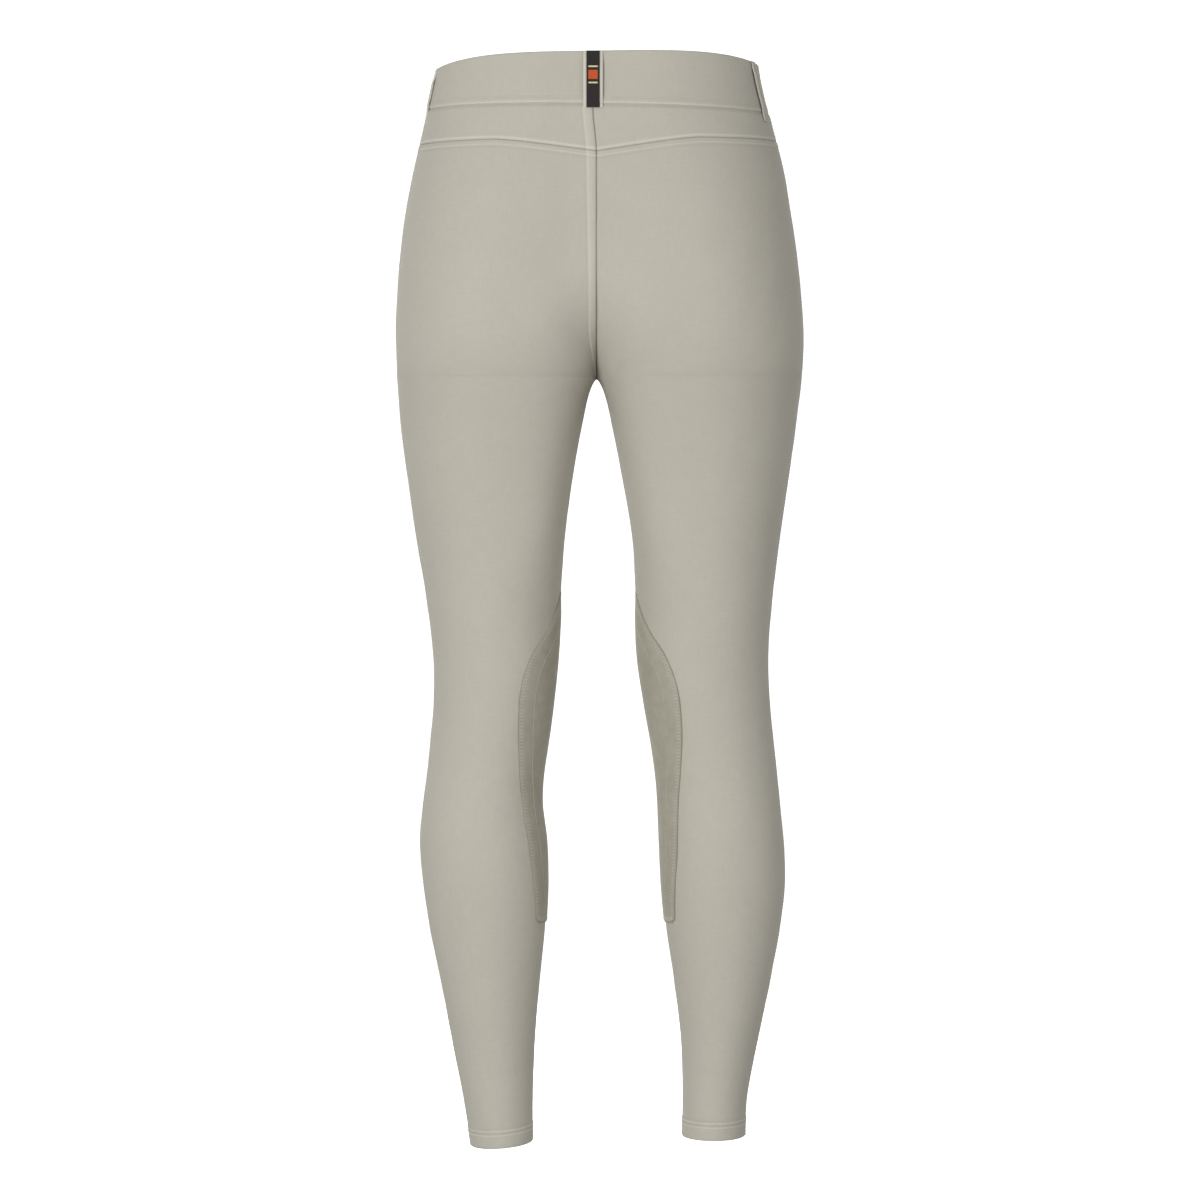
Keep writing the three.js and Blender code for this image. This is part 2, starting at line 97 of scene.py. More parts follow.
FORM = table(
    "z outL outR back front",
    (34, 144.8, 147, 96, -92),
    (0, 150.3, 152.2, 99.5, -96),
    (-41, 159.4, 162.4, 106, -101),
    (-78, 167.7, 171.8, 115, -105),
    (-115, 175, 178.2, 123.5, -107),
    (-152, 179.8, 183.5, 129, -106),
    (-189, 183, 187.6, 130, -103),
    (-226, 184.4, 190.3, 125.5, -100),
    (-273, 183.3, 188.8, 111, -96),
    (-310, 180.7, 184.3, 97.5, -93),
    (-364, 174.2, 177, 82, -88.5),
    (-420, 165.9, 169, 70, -83),
    (-476, 156.8, 162, 61.5, -76.5),
    (-531, 150.4, 158.5, 58, -69.5),
    (-568, 150.1, 159.7, 59, -65),
    (-605, 152.9, 163, 63, -60),
    (-642, 156.8, 166.7, 68.5, -55.5),
    (-661, 159.4, 168.6, 71.5, -53),
    (-698, 162.2, 172.2, 75, -49),
    (-735, 159.6, 173.2, 74, -45),
    (-772, 154.3, 169.5, 70, -41),
    (-827, 143.2, 159.7, 62, -36),
    (-883, 132.6, 148.2, 54, -32),
    (-938, 121.9, 138.2, 49, -30),
    (-985, 114.6, 136.4, 47, -29),
)
TORSO = table(
    "z lobe dipBack dipFront",
    (34, 0.22, 0, 0),
    (0, 0.24, 0, 0),
    (-41, 0.3, 0.4, 0),
    (-78, 0.38, 2, 0),
    (-115, 0.43, 4.5, 0.5),
    (-152, 0.46, 7, 1.5),
    (-189, 0.48, 9, 3),
    (-226, 0.49, 11, 4.5),
    (-273, 0.511, 13, 6),
)
LEGS = table(
    "z inL inR",
    (-273, 4, 4.4),
    (-310, 12.3, 13.2),
    (-364, 22, 23.8),
    (-420, 29.4, 33),
    (-476, 33.1, 36.3),
    (-531, 36.2, 38.6),
    (-568, 40, 44.1),
    (-605, 44.8, 50.6),
    (-642, 50, 55.7),
    (-661, 50.8, 57.1),
    (-698, 46.6, 58.6),
    (-735, 45.5, 60.3),
    (-772, 47, 63.5),
    (-827, 52.1, 71.4),
    (-883, 56.7, 77.9),
    (-938, 58.6, 79.3),
    (-985, 58.6, 78.4),
)
PATCH = table(
    "z reach",
    (-468, 0.03),
    (-470, 0.08),
    (-474, 0.13),
    (-481, 0.2),
    (-490, 0.275),
    (-504, 0.4),
    (-523, 0.58),
    (-540, 0.67),
    (-559, 0.71),
    (-582, 0.705),
    (-605, 0.67),
    (-633, 0.6),
    (-661, 0.53),
    (-687, 0.5),
    (-715, 0.467),
    (-738, 0.42),
    (-757, 0.39),
    (-766, 0.38),
    (-770, 0.36),
    (-772.5, 0.31),
)


def smooth(share):
    t = np.clip(share, 0, 1)
    return t * t * (3 - 2 * t)


def lerp(a, b, t):
    return a + (b - a) * t


def column(tab, name, z):
    """A smooth curve through one column of a table whose levels run downwards."""
    x, y = tab["z"], tab[name]
    level = np.clip(z, x[-1], x[0])
    i = np.clip(np.searchsorted(-x, -level, side="right") - 1, 0, len(x) - 2)
    slope, gap = np.diff(y) / np.diff(x), -np.diff(x)
    inner = (slope[:-1] * gap[1:] + slope[1:] * gap[:-1]) / (gap[1:] + gap[:-1])
    tangent = np.concatenate([slope[:1], inner, slope[-1:]])
    span = x[i + 1] - x[i]
    t = (level - x[i]) / span
    rise = (1 + 2 * t) * (1 - t) ** 2 * y[i] + t * t * (3 - 2 * t) * y[i + 1]
    return rise + span * (t * (1 - t) ** 2 * tangent[i] - t * t * (1 - t) * tangent[i + 1])


def crotch_curve(rise, height):
    """How far out to the centre line the crotch seam has come, and how the cloth leans there."""
    turn = np.arccos(1 - np.clip(rise / height, 0, 1))
    crease = FORK_SLOPE * (1 - turn / (math.pi / 2))
    return np.sin(turn), np.arctan2(np.tan(crease), np.sin(turn))


def surface(side, share, z, arched=True):
    """Points of the outer surface of one half, for arrays of shares and levels."""
    share, z = np.broadcast_arrays(np.asarray(share, float), np.asarray(z, float))
    out = column(FORM, "out" + side, z)
    back, front = column(FORM, "back", z), column(FORM, "front", z)
    middle = (back + front) / 2
    low = z <= FORK_Z
    gap, first_gap = column(LEGS, "in" + side, z), LEGS["in" + side][0]
    below = np.maximum(FORK_Z - z, 0)
    inner = np.where(low, gap - first_gap * np.exp(-below / ARCH_DROP), 0)
    arch = first_gap * (np.exp(-below / ARCH_DROP) - np.exp(-below / ARCH_TURN)) * arched
    full = np.where(low, (gap + out) / 2, out * column(TORSO, "lobe", z))
    reach_back, lean_back = crotch_curve(z - FORK_Z, SEAT_RISE)
    reach_front, lean_front = crotch_curve(z - FORK_Z, FRONT_RISE)
    y_back = lerp(middle, back - column(TORSO, "dipBack", z), reach_back)
    y_front = lerp(middle, front + column(TORSO, "dipFront", z), reach_front)
    ahead = share > 0.5
    half = np.where(ahead, 1 - share, share)
    far = np.where(ahead, front, back)
    start = np.where(low, middle, np.where(ahead, y_front, y_back))
    lean = np.where(low, math.pi / 2, np.where(ahead, lean_front, lean_back))
    way = np.sign(far - middle)
    near = half <= QUARTER
    # The inner thigh is flatter behind and turns more sharply than an ellipse
    top, high, low_end, foot = FULLER_LEVELS
    fuller = 1 + FULLER * smooth((top - z) / (top - high)) * smooth((z - foot) / (low_end - foot))
    bend = CURVE * fuller
    grip = bend * (np.abs(far - start) * np.sin(lean) + (full - inner) * np.cos(lean))
    x0 = np.where(near, inner, full)
    y0 = np.where(near, start, far)
    x1 = np.where(near, inner + grip * np.cos(lean), full + CURVE * (out - full))
    y1 = np.where(near, start + way * grip * np.sin(lean), far)
    x2 = np.where(near, full - bend * (full - inner), out)
    y2 = np.where(near, far, middle + CURVE * (far - middle))
    # Just above the fork the leg's round section carries on. The centre plane cuts it off at the
    # share "cut" of its curve, found by a few Newton steps, and the rest of the curve is kept
    reach = np.clip((start - middle) / (far - middle), 0, 0.9999)
    cut = np.zeros_like(reach)
    for _ in range(CUT_STEPS):
        rise = 3 * bend * cut * (1 - cut) ** 2 + 3 * cut**2 * (1 - cut) + cut**3
        slope = 3 * bend * (1 - cut) * (1 - 3 * cut) + 6 * cut * (1 - cut)
        cut = np.clip(cut - (rise - reach) / np.maximum(slope, 0.2), 0, 0.98)
    wide = full / ((1 - cut) ** 3 + 3 * cut * (1 - cut) ** 2 + 3 * cut**2 * (1 - cut) * bend)
    carry = np.where(near & ~low, 1 - smooth((z - FORK_Z) / SADDLE), 0)
    last_x = lerp(full - bend * wide, full, cut)
    x1 = lerp(x1, lerp(lerp(full - wide, full - bend * wide, cut), last_x, cut), carry)
    y1 = lerp(y1, lerp(lerp(middle + bend * (far - middle), far, cut), far, cut), carry)
    x2 = lerp(x2, last_x, carry)
    x3 = np.where(near, full, out)
    y3 = np.where(near, far, middle)
    t = np.where(near, half * 4, half * 4 - 1)
    w0, w1, w2, w3 = (1 - t) ** 3, 3 * t * (1 - t) ** 2, 3 * t * t * (1 - t), t**3
    x = x0 * w0 + x1 * w1 + x2 * w2 + x3 * w3 + arch * np.exp(-((half / ARCH_REACH) ** 2))
    y = y0 * w0 + y1 * w1 + y2 * w2 + y3 * w3
    return np.stack([x, y, z], axis=-1)


def on_ring(share, z):
    return np.where(z <= FORK_Z, share - np.floor(share), np.clip(share, 0, 1))


def unit(v):
    return v / np.maximum(np.linalg.norm(v, axis=-1, keepdims=True), 1e-9)


def normal_beside(side, share, z):
    step, along = 0.4, 0.004
    above = np.where(z > FORK_Z, z + step, np.minimum(z + step, FORK_Z))
    below = np.where(z > FORK_Z, np.maximum(z - step, FORK_Z + 0.01), z - step)
    up = surface(side, share, above) - surface(side, share, below)
    ahead, behind = on_ring(share + along, z), on_ring(share - along, z)
    return unit(np.cross(up, surface(side, ahead, z) - surface(side, behind, z)))


def normal(side, share, z):
    beside = 1.0
    at = on_ring(share, z)
    above = normal_beside(side, on_ring(at, z + beside), z + beside)
    return unit(above + normal_beside(side, at, z - beside))


def place(side, share, z, height=0.0):
    """The outer surface moved out by a height, on the left or right half, in the row's frame."""
    share, z = np.broadcast_arrays(np.asarray(share, float), np.asarray(z, float))
    at = on_ring(share, z)
    height = np.broadcast_to(np.asarray(height, float), at.shape)
    p = surface(side, at, z) + normal(side, at, z) * height[..., None]
    shut = ((at <= 0) | (at >= 1)) & (z > FORK_Z)
    p[..., 0] = np.where(shut, 0, np.maximum(p[..., 0], 0)) * (1 if side == "L" else -1)
    climb = smooth((p[..., 2] - DRIFT["footZ"]) / (DRIFT["topZ"] - DRIFT["footZ"]))
    p[..., 0] += DRIFT["top"] * climb * np.exp(-((p[..., 0] / DRIFT["reach"]) ** 2))
    return p


def outward(side, share, z):
    n = normal(side, np.asarray(share, float), np.asarray(z, float))
    if side == "R":
        n = n * np.array([-1.0, 1.0, 1.0])
    return n


def band_edge(seam, side, share):
    level = np.full(np.shape(share), float(seam["z"]))
    x = surface(side, share, level)[..., 0]
    inward = 1 - (x / column(FORM, "out" + side, level)) ** seam["hug"]
    rise = np.where(np.asarray(share) <= 0.5, seam["back"], seam["front"])
    return seam["side"] + rise * inward - seam["lean"] * x * (1 if side == "L" else -1)


def band_top(side, share):
    return band_edge(BAND_TOP, side, share)


def band_seam(side, share):
    return band_edge(BAND_SEAM, side, share)


def yoke_seam(side, share):
    level = np.full(np.shape(share), float(YOKE["z"]))
    x = surface(side, share, level)[..., 0]
    dip = YOKE["dip"] * np.maximum(0, 1 - x / YOKE["reach"]) ** YOKE["bend"]
    return YOKE["side"] - dip - YOKE["lean"] * x * (1 if side == "L" else -1)


def hem(side, share):
    level = HEM[side]
    p = surface(side, share, np.full(np.shape(share), float(level["z"])))
    back, front = column(FORM, "back", level["z"]), column(FORM, "front", level["z"])
    round_side = 1 - np.abs(2 * p[..., 1] - back - front) / (back - front)
    return level["z"] + level["tilt"] * (p[..., 0] - level["x"]) + HEM_RISE * round_side


# Unevenness: a few long and short waves, so that it is the same on each run
WAVES = (
    (0.043, 0.017, 0.3),
    (-0.021, 0.037, 1.9),
    (0.061, -0.029, 4.1),
    (0.013, 0.071, 2.6),
    (-0.083, 0.011, 5.2),
)


def uneven(u, v, scale=1.0, seed=0.0):
    total = 0
    for i, (a, b, phase) in enumerate(WAVES):
        total = total + np.sin((a * u + b * v) / scale * 2 + phase + seed * (1.7 + i))
    return total / len(WAVES)


# Relief, all in millimetres of height over the outer surface
EDGE_ROLL = 0.75
EDGE_WIDTH = 0.9


def line_at(away, at, width):
    """A bell curve across a line: 1 on it and 0 away from it."""
    return np.exp(-(((away - at) / width) ** 2))


def edge_roll(away):
    return -EDGE_ROLL * line_at(away, 0, EDGE_WIDTH)


def groove(away, at, depth, width=0.55):
    return -depth * line_at(away, at, width)


def felled(away, width, height):
    """A raised double fold that starts at a seam and ends at its topstitching."""
    return height * smooth(away / 0.9) * (1 - smooth((away - width + 0.4) / 0.8))


def pucker(along, away, at, depth, reach=2.6, pitch=4.6, seed=0.0):
    wobble = 1.9 * uneven(along, 0, 0.35, seed)
    strength = 0.55 + 0.45 * uneven(along, 0, 1.3, seed + 3)
    ripples = np.sin(2 * math.pi * along / pitch + wobble)
    return depth * strength * ripples * line_at(away, at, reach)


# Creases: from one place to another on a half, in shares and levels, with a width and a depth
CREASE = "side share_a z_a share_b z_b width depth"
CREASES = [
    dict(zip(CREASE.split(), row))
    for row in (
        ("L", 0.03, -283, 0.12, -330, 9, 0.35),
        ("R", 0.04, -286, 0.11, -322, 8, 0.35),
        ("L", 0.12, -563, 0.33, -556, 9, 0.45),
        ("L", 0.2, -585, 0.4, -594, 9, 0.4),
        ("R", 0.13, -560, 0.34, -568, 9, 0.45),
        ("R", 0.22, -592, 0.38, -583, 9, 0.4),
        ("L", 0.97, -262, 0.84, -238, 8, 1.1),
        ("R", 0.97, -264, 0.83, -243, 8, 1.0),
        ("L", 0.96, -278, 0.82, -268, 8, 0.9),
        ("R", 0.965, -282, 0.84, -276, 7, 0.8),
        ("L", 0.95, -236, 0.87, -206, 8, 0.6),
        ("R", 0.95, -240, 0.86, -214, 8, 0.6),
        ("L", 0.86, -552, 0.66, -558, 9, 0.4),
        ("R", 0.84, -560, 0.64, -551, 9, 0.4),
        ("L", 0.3, -900, 0.1, -915, 7, 0.5),
        ("R", 0.32, -912, 0.12, -903, 7, 0.5),
        ("L", 0.6, -908, 0.8, -918, 7, 0.5),
        ("R", 0.62, -902, 0.8, -912, 7, 0.5),
    )
]


def creases(side, points):
    """Soft troughs, each with a low ridge beside it."""
    total = np.zeros(points.shape[:-1])
    for crease in (c for c in CREASES if c["side"] == side):
        a = surface(side, crease["share_a"], crease["z_a"])
        b = surface(side, crease["share_b"], crease["z_b"])
        along = b - a
        t = ((points - a) @ along) / (along @ along)
        off = points - a - t[..., None] * along
        bow = 0.12 * np.linalg.norm(along) * np.sin(math.pi * np.clip(t, 0, 1))
        away = off[..., 2] + bow
        distance = np.sqrt(np.maximum((off**2).sum(-1) - off[..., 2] ** 2, 0) * 0.15 + away**2)
        fade = np.where((t > 0) & (t < 1), np.sin(math.pi * np.clip(t, 0, 1)) ** 0.8, 0)
        w = crease["width"]
        total -= crease["depth"] * fade * line_at(distance, 0, w)
        total += 0.55 * crease["depth"] * fade * line_at(away, 1.7 * w, w) * (distance < 4 * w)
    return total


def spread(*groups):
    return np.array(sorted(set(np.round(np.concatenate(groups), 3))))


# Rows close together beside a seam, then further apart
FINE = np.array([0, 0.35, 0.8, 1.4, 2.2, 3.1, 4, 4.6, 5.1, 5.6, 6.1, 6.7, 7.5, 9, 11, 13.5])
HIP_Z, SHIN_Z = -108.0, -915.0
ROW_STEP = 3.6
RISES = np.array([76, 70, 64, 58, 52, 47, 42, 37, 32, 27.5, 23, 19, 15, 11.5, 8.5, 6, 4, 2.4, 1.2, 0.4, 0])
DROPS = np.array([0.12, 0.45, 1, 1.8, 2.8, 4, 5.5, 7.5, 10, 13, 16.5, 20, 24, 28.5, 33, 37])
HEM_ROWS = np.array([
    0, 0.35, 0.8, 1.5, 3, 5, 7.5, 9.5, 10.8, 11.5, 12, 12.5, 13.1, 13.9, 14.8, 15.5, 16, 16.5, 17.2, 18.5, 21,
])


def steps(a, b, size):
    return np.linspace(a, b, max(2, int(round(abs(b - a) / size)) + 1))


LEVELS = -spread(
    -steps(HIP_Z, FORK_Z + RISES[0], ROW_STEP),
    -(FORK_Z + RISES),
    -(FORK_Z - DROPS),
    -steps(FORK_Z - DROPS[-1], SHIN_Z, ROW_STEP),
)


def leg_rows(top):
    """Row curves of a leg panel from the seam at its top to the hem, as functions of the share."""
    rows = [lambda s, sh, d=d: top(s, sh) - d for d in FINE]
    blend = np.linspace(0, 1, 10)[1:-1]
    rows += [lambda s, sh, t=t: lerp(top(s, sh) - FINE[-1], HIP_Z, t) for t in blend]
    rows += [lambda s, sh, z=z: np.full(np.shape(sh), z) for z in LEVELS]
    blend = np.linspace(0, 1, 14)[1:-1]
    rows += [lambda s, sh, t=t: lerp(SHIN_Z, hem(s, sh) + HEM_ROWS[-1], t) for t in blend]
    rows += [lambda s, sh, d=d: hem(s, sh) + d for d in HEM_ROWS[::-1]]
    return rows


# Columns close together beside the first and the last edge
EDGE_START = np.array([
    0, 0.35, 0.8, 1.4, 2.2, 3.2, 4.3, 5.2, 5.9, 6.5, 7.1, 7.7, 8.2, 8.7, 9.2, 9.7, 10.2, 11, 12.5,
])
EDGE_END = np.array([0, 0.35, 0.8, 1.4, 2.2, 3.4, 5, 6, 6.6, 7.3, 9, 11.5])


class Grid:
    """One panel's points: rows from the top down, columns from the panel's first share to its last."""

    def __init__(self, side, first, last, rows, middle_columns=40, end=None):
        self.side = side
        end = EDGE_END if end is None else end
        samples = np.linspace(first, last, 241)
        shares, levels, arcs, totals = [], [], [], []
        for row in rows:
            z = row(side, samples)
            p = surface(side, on_ring(samples, z), z, arched=False)
            arc = np.concatenate([[0], np.cumsum(np.linalg.norm(np.diff(p, axis=0), axis=1))])
            total = arc[-1]
            inner = np.linspace(EDGE_START[-1], total - end[-1], middle_columns)[1:-1]
            wanted = np.concatenate([EDGE_START, inner, total - end[::-1]])
            share = np.interp(wanted, arc, samples)
            shares.append(share)
            levels.append(row(side, share))
            arcs.append(wanted)
            totals.append(np.full(len(wanted), total))
        self.share, self.z = np.array(shares), np.array(levels)
        self.from_start = np.array(arcs)
        self.from_end = np.array(totals) - self.from_start
        self.from_top = self.z[:1] - self.z
        self.from_foot = self.z - self.z[-1:]
        self.base = surface(side, on_ring(self.share, self.z), self.z)

    def lift(self, height):
        self.height = height
        self.outer = place(self.side, self.share, self.z, height)
        self.out = outward(self.side, on_ring(self.share, self.z), self.z)
        return self

    def line(self, field, value, axis=1, last=False):
        """Where a field over the grid has a value: one point for each row (axis 1) or column (axis 0)."""
        f = field - value
        outer, out = self.outer, self.out
        if axis == 0:
            f, outer, out = f.T, outer.transpose(1, 0, 2), out.transpose(1, 0, 2)
        points, normals = [], []
        for k in range(f.shape[0]):
            crossing = np.flatnonzero(f[k, :-1] * f[k, 1:] <= 0)
            if not len(crossing):
                continue
            i = crossing[-1 if last else 0]
            t = f[k, i] / (f[k, i] - f[k, i + 1]) if f[k, i] != f[k, i + 1] else 0
            points.append(lerp(outer[k, i], outer[k, i + 1], t))
            normals.append(lerp(out[k, i], out[k, i + 1], t))
        return np.array(points), unit(np.array(normals))


def left_to_right(side, a):
    return a[:, ::-1] if side == "L" else a


def mesh_object(name, points, faces, material, body="root", weave=None):
    mesh = bpy.data.meshes.new(name)
    mesh.from_pydata((np.asarray(points) * MM).tolist(), [], faces)
    mesh.polygons.foreach_set("use_smooth", [True] * len(mesh.polygons))
    if weave is not None:
        attribute = mesh.attributes.new("weave", "FLOAT_VECTOR", "POINT")
        attribute.data.foreach_set("vector", (np.asarray(weave, float) * MM).ravel())
    mesh.materials.append(material)
    mesh.update()
    piece = bpy.data.objects.new(name, mesh)
    bpy.context.scene.collection.objects.link(piece)
    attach(piece, body)
    return piece


def shell_faces(rows, cols):
    i, j = np.meshgrid(np.arange(rows - 1), np.arange(cols - 1), indexing="ij")
    a, b = (i * cols + j).ravel(), ((i + 1) * cols + j).ravel()
    under = rows * cols
    outer = np.stack([a, b, b + 1, a + 1], 1)
    inner = np.stack([a, a + 1, b + 1, b], 1) + under
    k = np.arange(rows - 1) * cols
    left = np.stack([k, k + under, k + cols + under, k + cols], 1)
    r = k + cols - 1
    right = np.stack([r, r + cols, r + cols + under, r + under], 1)
    m = np.arange(cols - 1)
    top = np.stack([m, m + 1, m + 1 + under, m + under], 1)
    f = m + (rows - 1) * cols
    foot = np.stack([f, f + under, f + 1 + under, f + 1], 1)
    return np.concatenate([outer, inner, left, right, top, foot]).tolist()


def shell(name, side, outer, inner, u, v, material, slot, tone=None):
    """A closed thin wall between two grids of points, with its cloth coordinates and the painted highlights
    and shade of its seams.
    """
    tone = np.zeros_like(u) if tone is None else tone
    outer, inner, u, v, tone = (left_to_right(side, a) for a in (outer, inner, u, v, tone))
    rows, cols = outer.shape[:2]
    points = np.concatenate([outer.reshape(-1, 3), inner.reshape(-1, 3)])
    front = np.stack([u, v, np.zeros_like(u)], -1).reshape(-1, 3)
    back = np.stack([u, v, np.ones_like(u)], -1).reshape(-1, 3)
    weave = np.concatenate([front, back])
    piece = mesh_object(name, points, shell_faces(rows, cols), material, weave=weave)
    # The tone attribute is painted light: pale for painted highlights on folds and stitching, dark for
    # painted shade in seams; the inner side gets none
    attribute = piece.data.attributes.new("tone", "FLOAT", "POINT")
    painted_light_values = np.concatenate([tone.ravel(), np.zeros(tone.size)])
    attribute.data.foreach_set("value", painted_light_values.astype(np.float32))
    return piece


# Materials
def colour(red, green, blue):
    """A display colour of 0 to 255 as the linear values a shader takes."""
    values = (red / 255, green / 255, blue / 255)
    linear = tuple(((v + 0.055) / 1.055) ** 2.4 if v > 0.04 else v / 12.92 for v in values)
    return linear + (1.0,)


class Nodes:
    def __init__(self, name, roughness, sheen=0.0, sheen_tint=None):
        self.material = bpy.data.materials.new(name)
        self.material.use_nodes = True
        self.tree = self.material.node_tree
        self.shader = self.tree.nodes["Principled BSDF"]
        self.shader.inputs["Roughness"].default_value = roughness
        self.shader.inputs["Specular IOR Level"].default_value = 0.25
        self.shader.inputs["Sheen Weight"].default_value = sheen
        self.shader.inputs["Sheen Roughness"].default_value = 0.6
        if sheen_tint:
            self.shader.inputs["Sheen Tint"].default_value = sheen_tint

    def add(self, kind, inputs=None, **settings):
        node = self.tree.nodes.new(kind)
        for key, value in settings.items():
            setattr(node, key, value)
        for key, value in (inputs or {}).items():
            if isinstance(value, bpy.types.NodeSocket):
                self.tree.links.new(value, node.inputs[key])
            else:
                node.inputs[key].default_value = value
        return node

    def math(self, operation, a, b=0.0):
        return self.add("ShaderNodeMath", {0: a, 1: b}, operation=operation).outputs[0]

    def noise(self, where, scale, detail=2.0, roughness=0.5):
        inputs = {"Vector": where, "Scale": scale, "Detail": detail, "Roughness": roughness}
        return self.add("ShaderNodeTexNoise", inputs).outputs["Fac"]

    def ramp(self, value, low, high, from_value=0.0, to_value=1.0):
        inputs = {0: value, 1: low, 2: high, 3: from_value, 4: to_value}
        return self.add("ShaderNodeMapRange", inputs).outputs[0]

    def mix(self, factor, a, b, blend="MIX"):
        node = self.add("ShaderNodeMix", data_type="RGBA", blend_type=blend)
        for socket, value in ((node.inputs[0], factor), (node.inputs[6], a), (node.inputs[7], b)):
            if isinstance(value, bpy.types.NodeSocket):
                self.tree.links.new(value, socket)
            else:
                socket.default_value = value
        return node.outputs[2]

    def bump(self, height, strength, distance):
        node = self.add("ShaderNodeBump", {"Height": height, "Strength": strength, "Distance": distance})
        self.tree.links.new(node.outputs[0], self.shader.inputs["Normal"])

    def colour(self, socket):
        self.tree.links.new(socket, self.shader.inputs["Base Color"])


TWILL_PITCH = 0.00062
YARN_PITCH = 0.00038


def weave_axes(nodes):
    where = nodes.add("ShaderNodeAttribute", attribute_name="weave").outputs["Vector"]
    axes = nodes.add("ShaderNodeSeparateXYZ", {0: where}).outputs
    return where, axes[0], axes[1]


def painted_seam_light_and_shade(nodes, colour_socket, pale, deep):
    """Painted light and shade along seams: folded edges and stitched lines are painted paler than the cloth
    as highlights, and the hollows beside them are painted darker as shade.
    """
    # The tone attribute holds painted light: above 0 it mixes in a painted highlight, below 0 painted shade
    tone = nodes.add("ShaderNodeAttribute", attribute_name="tone").outputs["Fac"]
    paler = nodes.mix(nodes.ramp(tone, 0, 1, 0, 0.7), colour_socket, pale)
    return nodes.mix(nodes.ramp(tone, 0, -1, 0, 0.7), paler, deep)


def wave(nodes, value, pitch):
    return nodes.math("SINE", nodes.math("MULTIPLY", value, 2 * math.pi / pitch))


def cloth_material(name, base, shade, light, bump=0.45):
    nodes = Nodes(name, 0.86, sheen=0.12, sheen_tint=colour(235, 232, 222))
    where, u, v = weave_axes(nodes)
    slant = nodes.math("ADD", nodes.math("MULTIPLY", u, 0.8), nodes.math("MULTIPLY", v, 0.6))
    twill = wave(nodes, slant, TWILL_PITCH)
    yarn = wave(nodes, nodes.math("SUBTRACT", u, nodes.math("MULTIPLY", v, 0.15)), YARN_PITCH)
    slub = nodes.noise(where, 900, 2)
    broad = nodes.noise(where, 11, 3)
    fine = nodes.noise(where, 140, 3, 0.6)
    tone = nodes.mix(nodes.ramp(broad, 0.3, 0.7), base, light)
    tone = nodes.mix(nodes.ramp(fine, 0.35, 0.75, 0, 0.07), tone, shade)
    for stretch in ((1000, 60, 0), (70, 1000, 0)):
        along = nodes.add("ShaderNodeVectorMath", {0: where, 1: stretch}, operation="MULTIPLY").outputs[0]
        streak = nodes.noise(along, 1.0, 2, 0.6)
        tone = nodes.mix(nodes.ramp(streak, 0.3, 0.75, 0, 0.16), tone, shade)
    dark = nodes.ramp(nodes.math("ADD", twill, nodes.math("MULTIPLY", yarn, 0.5)), -1.5, 1.5, 0.16, 0.0)
    tone = nodes.mix(dark, tone, shade)
    # Seams get a painted highlight colour and a painted shade colour from their tone attribute
    nodes.colour(painted_seam_light_and_shade(nodes, tone, colour(222, 218, 207), colour(140, 136, 124)))
    height = nodes.math("ADD", twill, nodes.math("MULTIPLY", yarn, 0.6))
    height = nodes.math("ADD", height, nodes.math("MULTIPLY", slub, 1.6))
    height = nodes.math("ADD", height, nodes.math("MULTIPLY", fine, 0.5))
    nodes.bump(height, bump, 0.00012)
    return nodes.material


def suede_material():
    nodes = Nodes("grip_suede", 0.95, sheen=0.35, sheen_tint=colour(190, 186, 172))
    where = nodes.add("ShaderNodeAttribute", attribute_name="weave").outputs["Vector"]
    broad = nodes.noise(where, 22, 4, 0.6)
    cloud = nodes.noise(where, 95, 4, 0.65)
    nap = nodes.noise(where, 1500, 3, 0.7)
    tone = nodes.mix(nodes.ramp(broad, 0.3, 0.7), colour(163, 159, 145), colour(175, 171, 157))
    tone = nodes.mix(nodes.ramp(cloud, 0.4, 0.75, 0, 0.5), tone, colour(144, 140, 125))
    tone = nodes.mix(nodes.ramp(nap, 0.35, 0.7, 0, 0.35), tone, colour(128, 124, 110))
    # The patch's edges get a painted highlight colour and a painted shade colour from their tone attribute
    nodes.colour(painted_seam_light_and_shade(nodes, tone, colour(190, 186, 172), colour(104, 100, 88)))
    height = nodes.math("ADD", nodes.math("MULTIPLY", cloud, 0.6), nap)
    nodes.bump(height, 0.5, 0.00022)
    return nodes.material


CREAM, ORANGE = colour(226, 214, 170), colour(205, 88, 42)
TAPE_BARS = ((14.2, 15.6, CREAM), (18.2, 26.6, ORANGE), (29.2, 30.6, CREAM))
TAPE_BAR_HALF = 4.2


def tape_material():
    """Black woven tape with plain bars across it, at places along its length."""
    nodes = Nodes("woven_tape", 0.7, sheen=0.1, sheen_tint=colour(90, 86, 82))
    _, u, v = weave_axes(nodes)
    rib = wave(nodes, v, 0.0007)
    yarn = wave(nodes, u, 0.0005)
    weave = nodes.math("MULTIPLY", rib, yarn)
    tone = nodes.mix(nodes.ramp(weave, -1, 1, 0, 0.6), colour(34, 31, 30), colour(58, 54, 52))
    across = nodes.math("LESS_THAN", nodes.math("ABSOLUTE", u), TAPE_BAR_HALF * MM)
    worn = nodes.ramp(weave, -1, 1, 0.8, 1.0)
    for low, high, shade in TAPE_BARS:
        past_low, past_high = nodes.math("GREATER_THAN", v, low * MM), nodes.math("LESS_THAN", v, high * MM)
        inside = nodes.math("MULTIPLY", nodes.math("MULTIPLY", past_low, past_high), across)
        tone = nodes.mix(nodes.math("MULTIPLY", inside, worn), tone, shade)
    nodes.colour(tone)
    nodes.bump(nodes.math("ADD", weave, nodes.math("MULTIPLY", rib, 0.7)), 0.5, 0.00015)
    return nodes.material


